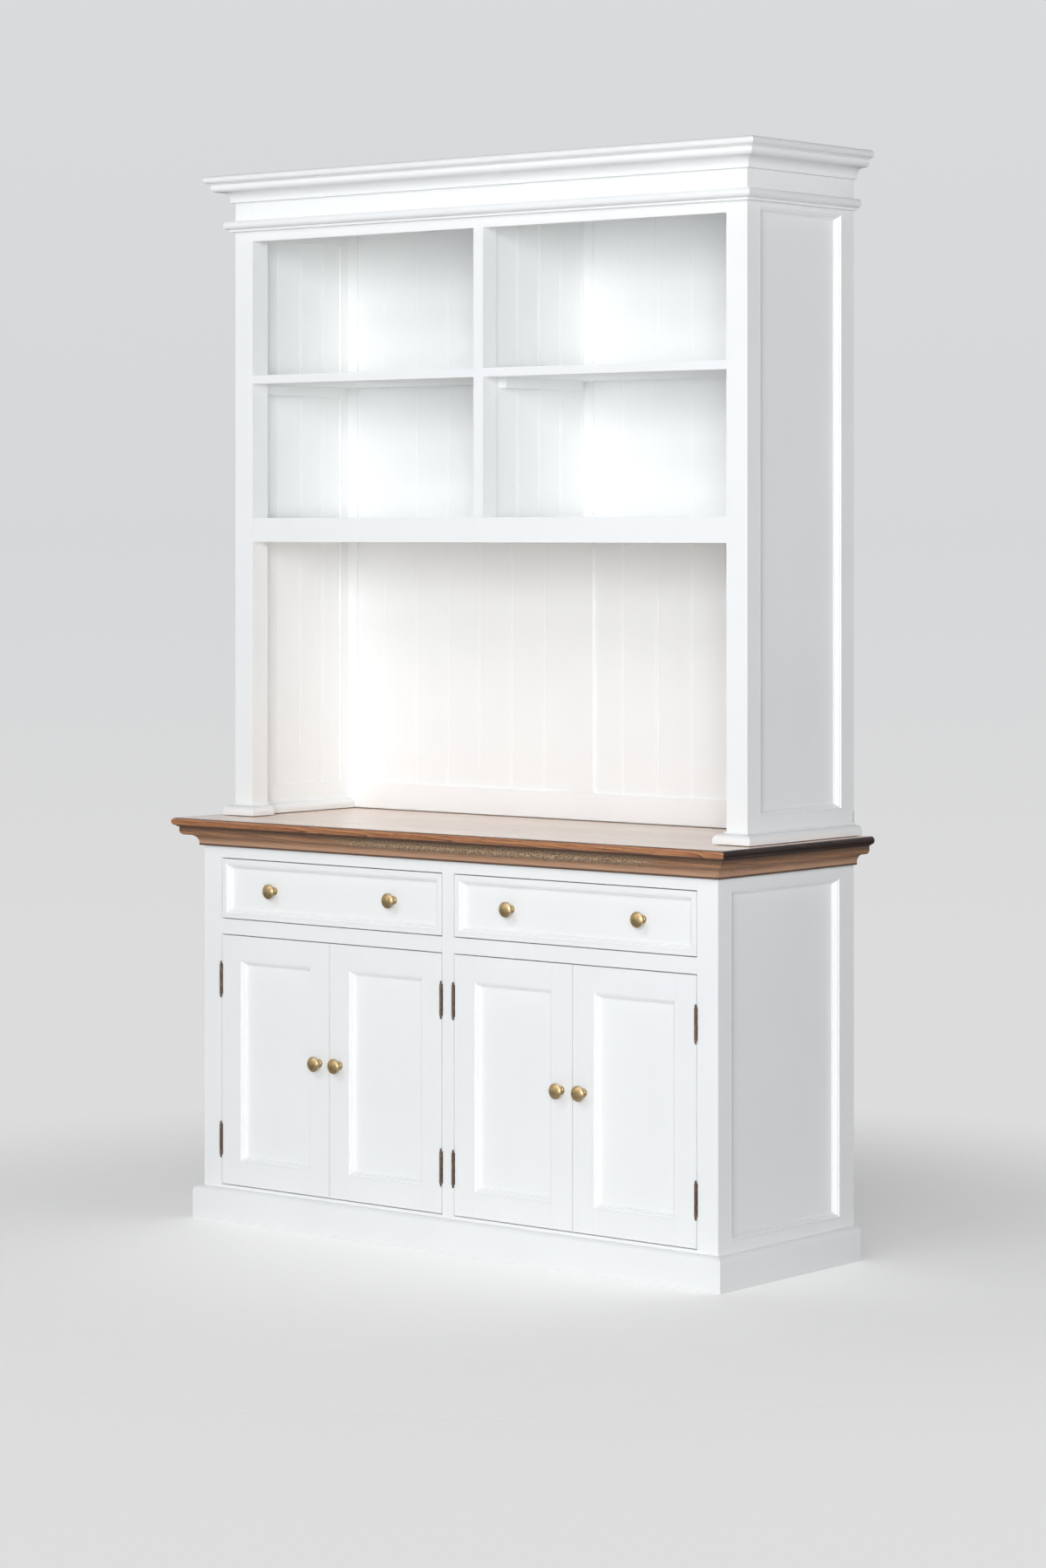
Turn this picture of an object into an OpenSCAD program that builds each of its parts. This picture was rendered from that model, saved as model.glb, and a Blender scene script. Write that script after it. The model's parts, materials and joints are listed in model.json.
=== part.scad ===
// Kitchen hutch: a panelled base with four doors and two drawers, a wooden worktop, and
// an open upper case with a niche, a divider and two shelves under a moulded crown.
// X runs to the right, Y to the back and Z up, in millimetres. The origin is on the
// floor, below the middle of the outer rectangle. The fronts face -Y.

/* [Overall] */
// Width across the two carcasses
body_w = 1350; // [1250:10:1600]
// Depth of the base carcass
base_d = 450; // [420:5:520]
// Depth of the upper carcass
hutch_d = 356; // [320:2:400]
// Height of the worktop's upper face
worktop_z = 842; // [840:2:900]
// Height of the whole piece
total_h = 2200; // [2180:5:2300]

/* [Worktop and crown boards] */
// Thickness of the two boards
board_t = 18; // [16:1:22]
// How far the boards stand past the carcasses
board_out = 50; // [44:1:60]
// Height of the flat fillet below the boards' rounded nose
nose_fillet_h = 2; // [1:0.5:4]

/* [Side frames] */
// Width of the front posts, seen from the front
post_w = 50; // [44:1:60]
// Depth of the front posts, seen from the side
post_d = 47; // [40:1:60]
// Thickness of the side rails and rear stiles
side_t = 23; // [22:1:28]
// Width of the base's rear stiles
base_rear_w = 54; // [44:1:64]
// Width of the upper case's rear stiles
hutch_rear_w = 47; // [40:1:60]
// How far the base's lower side rails show above the plinth
side_foot_show = 22; // [10:1:40]
// Height of the upper case's lower side rails
hutch_low_rail_h = 54; // [40:1:80]
// Height of the upper case's top side rails
hutch_top_rail_h = 110; // [100:1:130]

/* [Panels and panel mouldings] */
// Thickness of the side panels
panel_t = 7; // [6:0.5:8]
// Thickness of the door panels
door_panel_t = 6; // [5:0.5:7]
// Width of the mitred moulding round each panel
moulding_w = 12; // [11:0.5:16]
// Depth of the mitred moulding round each panel
moulding_t = 12; // [11:0.5:13]
// Width of the step that holds each panel
rebate_w = 6; // [5:0.5:9]

/* [Base front] */
// Height of the plinth
plinth_h = 68; // [60:1:80]
// Thickness of the plinth boards
plinth_t = 18; // [16:1:24]
// How far the bottom rail shows above the plinth
bottom_rail_show = 6; // [4:1:20]
// Height of the rails between the doors and the drawers
mid_rail_h = 32; // [24:1:40]
// Height of the drawer openings
drawer_open_h = 128; // [110:1:140]
// Height of the rails above the drawers, most of it behind the worktop's moulding
base_top_rail_h = 64; // [56:1:80]
// Thickness of the front rails and the drawer fronts
face_t = 22; // [20:1:26]
// Width of the base's centre stile
centre_w = 30; // [26:1:40]
// Gap round the doors and the drawer fronts
reveal = 2; // [1.5:0.25:3]
// Width of the doors' stiles and rails
door_member_w = 50; // [44:1:60]
// Width of the flat border round each drawer front
drawer_border_w = 9; // [6:1:14]

/* [Base inside] */
// Thickness of the floor, the partition and the inner shelves
inner_board_t = 18; // [15:1:22]
// Height of the inner shelves' underside above the cupboard floor
inner_shelf_lift = 250; // [180:5:320]
// How far the inner shelves stand back from the front
inner_shelf_back = 60; // [50:1:100]
// Thickness of the base's back panel
base_back_t = 6; // [4:1:9]
// Room between the drawer boxes and the back panel
drawer_back_room = 32; // [4:1:80]
// Thickness of the drawer sides and backs
drawer_side_t = 12; // [10:1:16]
// Thickness of the drawer bottoms
drawer_bottom_t = 6; // [4:1:8]

/* [Upper case] */
// Height of the open niche above the worktop
niche_h = 581; // [500:1:620]
// Height of the rail in front of the deck
deck_rail_h = 51; // [40:1:60]
// Height of the rails above the upper openings, most of it behind the crown
top_rail_h = 122; // [112:1:140]
// Thickness of the deck and the upper shelves
shelf_t = 18; // [16:1:24]
// Width of the divider's front stile
divider_w = 25; // [22:1:34]
// Depth of the divider's front stile
divider_stile_d = 43; // [34:1:60]
// How far the beaded boards lie behind the faces of their frames
bead_recess = 4; // [3:0.5:6]
// Thickness of the back frame
back_frame_t = 22; // [20:1:28]
// Width of the back frame's outer stiles
back_stile_w = 26; // [22:1:50]
// Width of the back frame's middle stiles
back_muntin_w = 60; // [50:1:80]
// Height of the back frame's bottom rail
back_low_rail_h = 58; // [50:1:80]
// Height of the back frame's top rail
back_top_rail_h = 72; // [50:1:90]
// Spacing of the beads on the side boards and the divider
side_bead_pitch = 70; // [50:1:90]
// Distance from the front posts to the first bead
side_bead_start = 67; // [40:1:90]
// Spacing of the beads on the back boards
back_bead_pitch = 89; // [60:1:120]

/* [Crown and worktop mouldings] */
// Height of the crown moulding
crown_h = 38; // [34:1:44]
// Height of the moulding under the worktop
worktop_moulding_h = 40; // [34:1:44]
// Height of the plain frieze below the crown
frieze_h = 39; // [30:1:44]
// Radius of the hollow in both mouldings
cove_r = 17; // [14:0.5:18]
// Radius of the round above the hollow
ovolo_r = 9; // [7:0.5:10]
// Radius of the rounded bead below the frieze
astragal_r = 9; // [7:0.5:10]
// How far the foot moulding stands out
foot_out = 20; // [18:0.5:24]

/* [Hinges and knobs] */
// Height of each hinge
hinge_h = 64; // [56:1:90]
// Radius of the hinge knuckles
knuckle_r = 3; // [2.8:0.1:3.2]
// Radius of the hinge pins
pin_r = 1.5; // [1.2:0.1:1.6]
// Distance from a door's end to the hinge
hinge_inset = 61; // [40:1:90]
// Radius of the knobs' heads
knob_r = 15.5; // [13:0.5:18]
// Length of the knobs
knob_len = 25.5; // [23:0.5:26]
// Distance from a door's closing edge to its knob
knob_edge = 27; // [22:0.5:34]
// Height of the door knobs above the doors' lower edge
knob_lift = 274; // [200:1:400]
// Distance from the middle of a drawer to each knob
drawer_knob_x = 165; // [100:1:220]

/* [Hidden] */
$fn = 64;
overrun = 1;
// Fine gap at the glued joints between pieces of one sub-part
joint_gap = 0.2;
// Room for a panel's edges in the step that holds it
panel_room = 1;

// Faces and levels that the pieces share
half_w = body_w / 2;
rear_y = (base_d + board_out) / 2;
base_y = rear_y - base_d;
hutch_y = rear_y - hutch_d;
post_in_x = half_w - post_w;
side_in_x = half_w - side_t;
panel_in_x = half_w - moulding_t - panel_t;
post_lap_d = post_d - rebate_w;
base_top_z = worktop_z - board_t;
hutch_top_z = total_h - board_t;
door_open_z = plinth_h + bottom_rail_show;
top_rail_z = base_top_z - base_top_rail_h;
drawer_open_z = top_rail_z - drawer_open_h;
mid_rail_z = drawer_open_z - mid_rail_h;
door_open_h = mid_rail_z - door_open_z;
deck_rail_z = worktop_z + niche_h;
deck_z = deck_rail_z + deck_rail_h;
upper_top_z = hutch_top_z - top_rail_h;
// The upper shelves stand halfway up their openings
shelf_z = (deck_z + upper_top_z - shelf_t) / 2;

// Lower edge of the rails behind the plinth
rail_lift = 20;
// Panel openings of the two side frames
base_open_low = plinth_h + side_foot_show;
base_open_high = top_rail_z;
hutch_open_low = worktop_z + hutch_low_rail_h;
hutch_open_high = hutch_top_z - hutch_top_rail_h;

// Step in the rear stiles for the base's back panel
back_rebate_w = 10;
base_back_y = rear_y - base_back_t;

// Doors
bay_w = post_in_x - centre_w / 2;
door_w = (bay_w - reveal * 3) / 2;
door_h = door_open_h - reveal * 2;
door_z = door_open_z + reveal;
// Play between the doors' backs and the catches
catch_play = 0.5;
door_t = face_t - catch_play;
door_lap_t = moulding_t + door_panel_t;

// Drawers
drawer_w = bay_w - reveal * 2;
drawer_h = drawer_open_h - reveal * 2;
drawer_z = drawer_open_z + reveal;
// Play between a drawer box and the posts beside it
box_play = 1;
// How far the drawer sides stay below the front's upper edge
side_drop = 6;
// Height of the drawer bottom above the sides' lower edge
bottom_lift = 8;
// Depth of the grooves that hold the drawer bottom
groove_d = 5;
drawer_side_h = drawer_h - side_drop;
drawer_len = base_d - base_back_t - face_t - drawer_back_room;

// Runners, kickers and cleats
runner_w = 25;
runner_h = 22;
kicker_w = 30;
kicker_h = 30;
base_cleat_h = 20;
base_cleat_w = 18;
cleat_t = 18;
cleat_h = 21;
cleat_corner_r = 9;
// Gap between the front posts and the cleats of the upper shelves
cleat_start = 9;

// Back frame of the upper case
back_y = rear_y - back_frame_t;
back_lip_t = bead_recess + 1;
back_lip_w = 10;
back_open_x = side_in_x - back_stile_w;
// Step along the back frame's lower front edge, which leaves a gap above the worktop
back_gap_h = 2;
back_gap_d = 12;

// Beads are two fine grooves side by side
bead_w = 7;
bead_line_r = 0.55;

// Cornice profile, shared by the crown and the moulding under the worktop
cornice_fillet_out = 8;
cornice_fillet_h = 5;
cornice_step_w = 4;
cornice_cove_out = cornice_fillet_out + cove_r;
cornice_cove_top = cornice_fillet_h + cove_r;
cornice_step_out = cornice_cove_out + cornice_step_w;
cornice_ovolo_top = cornice_cove_top + ovolo_r;
cornice_out = cornice_step_out + ovolo_r;

// Rounded bead below the frieze
astragal_fillet_h = 5;
astragal_neck = 10.5;
astragal_h = astragal_fillet_h + astragal_r * 2;
astragal_out = astragal_neck + astragal_r;
crown_z = hutch_top_z - crown_h;
astragal_z = crown_z - frieze_h - astragal_h;

// Foot moulding of the upper case
foot_flat_h = 9;
foot_ovolo_r = 12;
foot_cove_r = 5;
foot_top_out = 2;
foot_h = foot_flat_h + foot_ovolo_r + foot_cove_r;

// Plinth
plinth_edge_r = 12;

// Panel moulding
stick_fillet_w = 1.5;
stick_fillet_h = 1;
stick_ovolo_r = 6;
stick_step_w = 0.8;
stick_step_h = moulding_t - stick_fillet_h - stick_ovolo_r;
stick_cove_r = moulding_w - stick_fillet_w - stick_ovolo_r - stick_step_w;

// Hinges: the axis stands in front of the doors' faces, in the middle of the gap
leaf_t = 1.5;
leaf_w = 18;
hinge_axis_x = -reveal / 2;
hinge_axis_y = -(knuckle_r + 0.4);
pin_play = 0.06;
pin_tip_r = 2.1;
pin_tip_h = 6.5;
pin_tip_bevel = 1.2;
knuckle_count = 5;
knuckle_gap = 0.3;
knuckle_h = (hinge_h - knuckle_gap * (knuckle_count - 1)) / knuckle_count;

// Catches
plate_w = 24;
plate_h = 14;
plate_t = 1.5;
plate_edge = 35;
plate_top = 5;
catch_w = 34;
catch_h = 46;
catch_t = 14;

// Knobs and their screws
knob_flange_r = 8.5;
knob_flange_h = 2;
knob_neck_r = 5;
knob_neck_top = 12;
knob_dome_h = 5;
knob_rim_z = knob_len - knob_dome_h;
knob_dome_r = (knob_r * knob_r + knob_dome_h * knob_dome_h) / (knob_dome_h * 2);
screw_r = 2;
screw_reach = 11;
screw_play = 0.1;
screw_hole_r = 2.2;
screw_head_r = 4.5;
screw_head_h = 2.5;

// Joining plates on the back, let in flush as far as the outer faces
join_w = 16;
join_t = 2;
join_reach = 48;
join_low_reach = 38;
join_x = half_w - join_w / 2;
join_screw_r = 1.75;
join_screw_head_r = 3.5;
join_screw_len = 18;
join_screw_play = 0.1;
join_screw_steps = [15, 34];
join_low_steps = [11, 27];

paint = "#f0f1f3";
worktop_wood = "#8f5431";
bare_wood = "#d8c19a";
brass_tone = "#c9a96a";
bronze_tone = "#5f4632";
steel_tone = "#8d9196";

// A box between two corners
module block(low, high) {
  translate(low) cube(high - low);
}

// A piece and its mirror image on the other side of the middle
module both_sides() {
  children();
  mirror([1, 0, 0]) children();
}

// A quarter disc in the first quadrant
module quarter(r) {
  intersection() {
    circle(r = r);
    square([r, r]);
  }
}

// Profiles of the mouldings: X is the distance out from the face, Y is up

module cornice_profile(h) {
  square([cornice_fillet_out, cornice_fillet_h]);
  difference() {
    translate([0, cornice_fillet_h]) square([cornice_cove_out, cove_r]);
    translate([cornice_cove_out, cornice_fillet_h]) circle(r = cove_r);
  }
  translate([0, cornice_cove_top]) square([cornice_step_out, h - cornice_cove_top]);
  translate([cornice_step_out, cornice_ovolo_top]) mirror([0, 1]) quarter(ovolo_r);
  translate([cornice_step_out, cornice_ovolo_top]) square([ovolo_r, h - cornice_ovolo_top]);
}

module astragal_profile() {
  square([astragal_r, astragal_fillet_h]);
  translate([0, astragal_fillet_h]) square([astragal_neck, astragal_r * 2]);
  translate([astragal_neck, astragal_fillet_h + astragal_r]) circle(r = astragal_r);
}

module foot_profile() {
  ovolo_out = foot_out - foot_ovolo_r;
  cove_z = foot_flat_h + foot_ovolo_r;
  square([foot_out, foot_flat_h]);
  square([ovolo_out, cove_z]);
  translate([ovolo_out, foot_flat_h]) quarter(foot_ovolo_r);
  difference() {
    square([foot_top_out + foot_cove_r, foot_h]);
    translate([foot_top_out + foot_cove_r, foot_h]) circle(r = foot_cove_r);
  }
}

module plinth_profile() {
  square([plinth_t, plinth_h - plinth_edge_r]);
  square([plinth_t - plinth_edge_r, plinth_h]);
  translate([plinth_t - plinth_edge_r, plinth_h - plinth_edge_r]) quarter(plinth_edge_r);
}

// Panel moulding: X is the distance in from the frame, Y the height above the panel
module stick_profile() {
  square([stick_fillet_w, moulding_t]);
  translate([stick_fillet_w, stick_step_h]) quarter(stick_ovolo_r);
  difference() {
    square([moulding_w, stick_step_h]);
    translate([moulding_w, stick_step_h]) circle(r = stick_cove_r);
  }
}

// A length of moulding along X on a face at y = 0, standing out towards -Y. An end is
// 0 where it is cut square, 1 at an outside mitre.
module face_stick(len, out, h, start, end) {
  reach = out + overrun;
  start_x = start * joint_gap / 2;
  end_x = len - end * joint_gap / 2;
  intersection() {
    translate([-reach, 0, 0]) rotate([90, 0, 90]) linear_extrude(len + reach * 2)
      mirror([1, 0]) children();
    translate([0, 0, -overrun]) linear_extrude(h + overrun * 2)
      polygon([
        [start_x + start * overrun, overrun], [end_x - end * overrun, overrun],
        [end_x + end * reach, -reach], [start_x - start * reach, -reach]
      ]);
  }
}

// A moulding mitred round the front and both sides of a carcass
module three_sides(front_y, depth, out, h) {
  translate([-half_w, front_y, 0]) face_stick(body_w, out, h, 1, 1) children();
  translate([half_w, front_y, 0]) rotate([0, 0, 90]) face_stick(depth, out, h, 1, 0)
    children();
  translate([-half_w, rear_y, 0]) rotate([0, 0, -90]) face_stick(depth, out, h, 0, 1)
    children();
}

// One mitred stick of panel moulding, along X, with its front at y = 0
module panel_stick(len) {
  gap = joint_gap / 2;
  far = moulding_w + overrun;
  intersection() {
    rotate([90, 0, 90]) linear_extrude(len) translate([moulding_t, 0]) rotate(90)
      stick_profile();
    translate([0, moulding_t + overrun, 0]) rotate([90, 0, 0])
      linear_extrude(moulding_t + overrun * 2)
      polygon([[gap - overrun, -overrun], [len - gap + overrun, -overrun],
               [len - gap - far, far], [gap + far, far]]);
  }
}

// Four mitred sticks round a panel, in the XZ plane, from the lower left corner
module panel_moulding(w, h) {
  panel_stick(w);
  translate([w, 0, h]) rotate([0, 180, 0]) panel_stick(w);
  translate([0, 0, h]) rotate([0, 90, 0]) panel_stick(h);
  translate([w, 0, 0]) rotate([0, -90, 0]) panel_stick(h);
}

// Plan outline of a board with fine double grooves on its front face, along X
module beaded_outline(len, t, centres) {
  difference() {
    square([len, t]);
    for (c = centres, edge = [-bead_w / 2, bead_w / 2])
      translate([c + edge, 0]) circle(r = bead_line_r);
  }
}

// One side of a carcass: front post, rear stile and two rails, on the right
module side_frame(front_y, rear_w, low_z, high_z, rail_z, open_low, open_high) {
  lap_y = front_y + post_lap_d;
  post_y = front_y + post_d;
  rear_lip_y = rear_y - rear_w;
  rear_lap_y = rear_lip_y + rebate_w;
  translate([0, 0, low_z]) linear_extrude(high_z - low_z) {
    polygon([[post_in_x, front_y], [half_w, front_y], [half_w, lap_y],
             [panel_in_x, lap_y], [panel_in_x, post_y], [post_in_x, post_y]]);
    polygon([[side_in_x, rear_lip_y], [panel_in_x, rear_lip_y], [panel_in_x, rear_lap_y],
             [half_w, rear_lap_y], [half_w, rear_y], [side_in_x, rear_y]]);
  }
  for (rail = [[rail_z, open_low, 0, rebate_w], [open_high, high_z, rebate_w, 0]])
    on_right_side(front_y, rail[0]) translate([joint_gap, 0, 0])
      stepped_bar(rear_lap_y - lap_y - joint_gap * 2, rail[1] - rail[0], rail[2], rail[3],
                  rebate_w, half_w - panel_in_x, side_t);
}

// A bar along X with its outer face at y = 0 and a step all along it: the outer layer is
// w high and out_t deep, and the lips behind it stand out by low and high. The outer
// layer laps over the neighbours' lips at both ends.
module stepped_bar(len, w, low, high, lap, out_t, t) {
  block([0, 0, 0], [len, out_t - joint_gap, w]);
  block([lap, 0, 0], [len - lap, t, w]);
  block([lap, out_t, -low], [len - lap, t, w + high]);
}

// From the front post's joint on the right side, X towards the back
module on_right_side(front_y, open_low) {
  translate([half_w, front_y + post_lap_d, open_low]) rotate([0, 0, 90]) children();
}

function side_open_w(depth, rear_w) = depth - post_lap_d - rear_w + rebate_w;
function side_beads(front_y, len) =
  [for (b = [side_bead_start : side_bead_pitch : len - bead_w]) b + front_y];

// Doors are drawn with their hinges on the left, from the lower left front corner
function door_is_left(i) = i == 1 || i == 3;
function door_hinge_x(i) =
  [-post_in_x + reveal, -centre_w / 2 - reveal, centre_w / 2 + reveal, post_in_x - reveal][i - 1];

module place_door(i) {
  translate([door_hinge_x(i), base_y, door_z]) mirror([door_is_left(i) ? 0 : 1, 0, 0])
    children();
}

module at_hinges() {
  for (z = [hinge_inset, door_h - hinge_inset - hinge_h]) translate([0, 0, z]) children();
}

// One leaf with its knuckles, on the door's side of the hinge axis
module hinge_leaf(knuckles) {
  difference() {
    union() {
      block([0, 0, 0], [leaf_t, leaf_w, hinge_h]);
      for (k = knuckles) translate([0, 0, k * (knuckle_h + knuckle_gap)]) {
        translate([hinge_axis_x, hinge_axis_y, 0]) cylinder(r = knuckle_r, h = knuckle_h);
        block([0, hinge_axis_y, 0], [leaf_t, leaf_t, knuckle_h]);
      }
    }
    translate([hinge_axis_x, hinge_axis_y, -overrun])
      cylinder(r = pin_r + pin_play, h = hinge_h + overrun * 2);
  }
}

module frame_side_of_hinge() {
  translate([-reveal, 0, 0]) mirror([1, 0, 0]) children();
}

// Recesses for the frame leaves in the posts and the centre stile
module frame_leaf_recesses() {
  for (i = [1 : 4]) place_door(i) at_hinges() frame_side_of_hinge()
    block([0, -overrun, 0], [leaf_t, leaf_w, hinge_h]);
}

module hinge_pin() {
  translate([hinge_axis_x, hinge_axis_y, 0]) {
    cylinder(r = pin_r, h = hinge_h);
    for (end = [[0, 1], [hinge_h, 0]]) translate([0, 0, end[0]]) mirror([0, 0, end[1]]) {
      cylinder(r = pin_tip_r, h = pin_tip_h - pin_tip_bevel);
      translate([0, 0, pin_tip_h - pin_tip_bevel])
        cylinder(r1 = pin_tip_r, r2 = pin_tip_r - pin_tip_bevel, h = pin_tip_bevel);
    }
  }
}

// Knob on a face at y = 0, with the screw that holds it from behind a wall
module knob(wall) {
  rotate([90, 0, 0]) {
    difference() {
      rotate_extrude() {
        square([knob_flange_r, knob_flange_h]);
        square([knob_neck_r, knob_rim_z]);
        polygon([[0, knob_neck_top], [knob_neck_r, knob_neck_top], [knob_r, knob_rim_z],
                 [0, knob_rim_z]]);
        intersection() {
          translate([0, knob_len - knob_dome_r]) circle(r = knob_dome_r);
          translate([0, knob_rim_z]) square([knob_r, knob_dome_h]);
        }
      }
      translate([0, 0, -overrun])
        cylinder(r = screw_r + screw_play, h = screw_reach + screw_play + overrun);
    }
    translate([0, 0, -wall]) cylinder(r = screw_r, h = wall + screw_reach);
    translate([0, 0, -wall - screw_head_h]) cylinder(r = screw_head_r, h = screw_head_h);
  }
}

module knob_hole(wall) {
  rotate([90, 0, 0]) translate([0, 0, -wall - overrun])
    cylinder(r = screw_hole_r, h = wall + overrun * 2);
}

module door_knob_place() {
  translate([door_w - knob_edge, 0, knob_lift]) children();
}

// Catch plate, let in flush in the back of the closing stile
module catch_plate() {
  translate([door_w - plate_edge - plate_w / 2, door_t - plate_t, door_h - plate_top - plate_h])
    cube([plate_w, plate_t, plate_h]);
}

// One door's stiles and rails, stepped at the front for the panel and its moulding
module door_frame_members() {
  lip_w = door_member_w + rebate_w;
  for (side = [0, 1]) translate([side * door_w, 0, 0]) mirror([side, 0, 0])
    linear_extrude(door_h) polygon([[0, 0], [door_member_w, 0], [door_member_w, door_lap_t],
                                    [lip_w, door_lap_t], [lip_w, door_t], [0, door_t]]);
  for (end = [0, 1]) translate([0, 0, end * door_h]) mirror([0, 0, end])
    translate([door_member_w + joint_gap, 0, 0])
    stepped_bar(door_w - (door_member_w + joint_gap) * 2, door_member_w, 0, rebate_w,
                rebate_w, door_lap_t, door_t);
}

module door_frame(i) {
  color(paint) place_door(i) difference() {
    door_frame_members();
    at_hinges() block([-overrun, -overrun, 0], [leaf_t, leaf_w, hinge_h]);
    door_knob_place() knob_hole(door_t);
    translate([0, overrun, 0]) catch_plate();
    catch_plate();
  }
}

module door_moulding(i) {
  color(paint) place_door(i) translate([door_member_w, 0, door_member_w])
    panel_moulding(door_w - door_member_w * 2, door_h - door_member_w * 2);
}

module door_panel(i) {
  edge = door_member_w + panel_room;
  color(paint) place_door(i)
    block([edge, moulding_t, edge], [door_w - edge, door_lap_t, door_h - edge]);
}

module door_knob(i) {
  color(brass_tone) place_door(i) door_knob_place() knob(door_t);
}

module door_hardware(i) {
  color(bronze_tone) place_door(i) {
    at_hinges() hinge_leaf([1, 3]);
    catch_plate();
  }
}

// Drawers are drawn from the lower left front corner of their fronts
module place_drawer(side) {
  translate([side < 0 ? -post_in_x + reveal : centre_w / 2 + reveal, base_y, drawer_z])
    children();
}

module at_drawer_knobs() {
  for (dx = [-drawer_knob_x, drawer_knob_x])
    translate([drawer_w / 2 + dx, moulding_t, drawer_h / 2]) children();
}

module drawer_front(side) {
  color(paint) place_drawer(side) difference() {
    cube([drawer_w, face_t, drawer_h]);
    block([drawer_border_w, -overrun, drawer_border_w],
          [drawer_w - drawer_border_w, moulding_t, drawer_h - drawer_border_w]);
    at_drawer_knobs() knob_hole(face_t - moulding_t);
  }
}

module drawer_moulding(side) {
  color(paint) place_drawer(side) translate([drawer_border_w, 0, drawer_border_w])
    panel_moulding(drawer_w - drawer_border_w * 2, drawer_h - drawer_border_w * 2);
}

module drawer_box(side) {
  far_y = face_t + drawer_len;
  inner = box_play + drawer_side_t;
  bottom_top = bottom_lift + drawer_bottom_t;
  color(bare_wood) place_drawer(side) {
    for (flip = [0, 1]) translate([flip * drawer_w, 0, 0]) mirror([flip, 0, 0])
      difference() {
        block([box_play, face_t, 0], [inner, far_y, drawer_side_h]);
        block([inner - groove_d, face_t - overrun, bottom_lift - joint_gap],
              [inner + overrun, far_y + overrun, bottom_top + joint_gap]);
      }
    block([inner + joint_gap, far_y - drawer_side_t, bottom_top + joint_gap],
          [drawer_w - inner - joint_gap, far_y, drawer_side_h]);
    block([inner - groove_d + joint_gap, face_t, bottom_lift],
          [drawer_w - inner + groove_d - joint_gap, far_y, bottom_top]);
  }
}

module drawer_knobs(side) {
  color(brass_tone) place_drawer(side) at_drawer_knobs() knob(face_t - moulding_t);
}

// Plate and screws that tie the upper case to the base, on the right
module join_screws(r, head_r, len) {
  heights = concat([for (step = join_screw_steps) worktop_z + step],
                   [for (step = join_low_steps) base_top_z - step]);
  for (z = heights)
    translate([join_x, rear_y, z]) rotate([90, 0, 0]) {
      cylinder(r = r, h = len);
      cylinder(r1 = head_r, r2 = r, h = join_t);
    }
}

module join_plate_space(behind, beside) {
  block([half_w - join_w, rear_y - join_t, base_top_z - join_low_reach],
        [half_w + beside, rear_y + behind, worktop_z + join_reach]);
}

module join_cuts(beside) {
  both_sides() {
    join_plate_space(overrun, beside);
    join_screws(join_screw_r + join_screw_play, join_screw_r + join_screw_play,
                join_screw_len + join_screw_play);
  }
}

module joining_plates() {
  color(steel_tone) both_sides() {
    difference() {
      join_plate_space(0, 0);
      join_screws(join_screw_r + join_screw_play, join_screw_head_r + join_screw_play,
                  join_screw_len);
    }
    join_screws(join_screw_r, join_screw_head_r, join_screw_len);
  }
}

module base_side_frames() {
  color(paint) difference() {
    both_sides() difference() {
      side_frame(base_y, base_rear_w, 0, base_top_z, rail_lift, base_open_low, base_open_high);
      block([side_in_x - overrun, base_back_y, -overrun],
            [side_in_x + back_rebate_w, rear_y + overrun, base_top_z + overrun]);
    }
    frame_leaf_recesses();
    join_cuts(overrun);
  }
}

module base_face_frame() {
  color(paint) {
    difference() {
      block([-centre_w / 2, base_y, rail_lift], [centre_w / 2, base_y + face_t, base_top_z]);
      frame_leaf_recesses();
    }
    both_sides() for (rail = [[rail_lift, door_open_z], [mid_rail_z, drawer_open_z],
                              [top_rail_z, base_top_z]])
      block([centre_w / 2 + joint_gap, base_y, rail[0]],
            [post_in_x - joint_gap, base_y + face_t, rail[1]]);
  }
}

module base_side_panels() {
  color(paint) both_sides()
    block([panel_in_x, base_y + post_lap_d + panel_room, base_open_low + panel_room],
          [half_w - moulding_t, rear_y - base_rear_w + rebate_w - panel_room,
           base_open_high - panel_room]);
}

module base_side_mouldings() {
  color(paint) both_sides() on_right_side(base_y, base_open_low)
    panel_moulding(side_open_w(base_d, base_rear_w), base_open_high - base_open_low);
}

module base_back_panel() {
  edge = side_in_x + back_rebate_w - panel_room;
  color(paint) difference() {
    block([-edge, base_back_y, rail_lift], [edge, rear_y, base_top_z]);
    join_cuts(0);
  }
}

module base_partition() {
  color(paint) block([-inner_board_t / 2, base_y + face_t, door_open_z],
                     [inner_board_t / 2, base_back_y, base_top_z]);
}

module base_floor() {
  color(paint) difference() {
    block([-side_in_x, base_y + face_t, door_open_z - inner_board_t],
          [side_in_x, base_back_y, door_open_z]);
    both_sides() block([post_in_x, base_y, 0], [half_w, base_y + post_d, base_top_z]);
  }
}

module base_shelves() {
  z = door_open_z + inner_shelf_lift;
  color(paint) both_sides()
    block([inner_board_t / 2, base_y + inner_shelf_back, z],
          [side_in_x, base_back_y, z + inner_board_t]);
}

// Cleats under the inner shelves, from post to back on the sides and on the partition
module base_shelf_cleats() {
  top = door_open_z + inner_shelf_lift;
  color(paint) both_sides() {
    block([side_in_x - base_cleat_w, base_y + post_d, top - base_cleat_h],
          [side_in_x, base_back_y, top]);
    block([inner_board_t / 2, base_y + inner_shelf_back, top - base_cleat_h],
          [inner_board_t / 2 + base_cleat_w, base_back_y, top]);
  }
}

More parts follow.
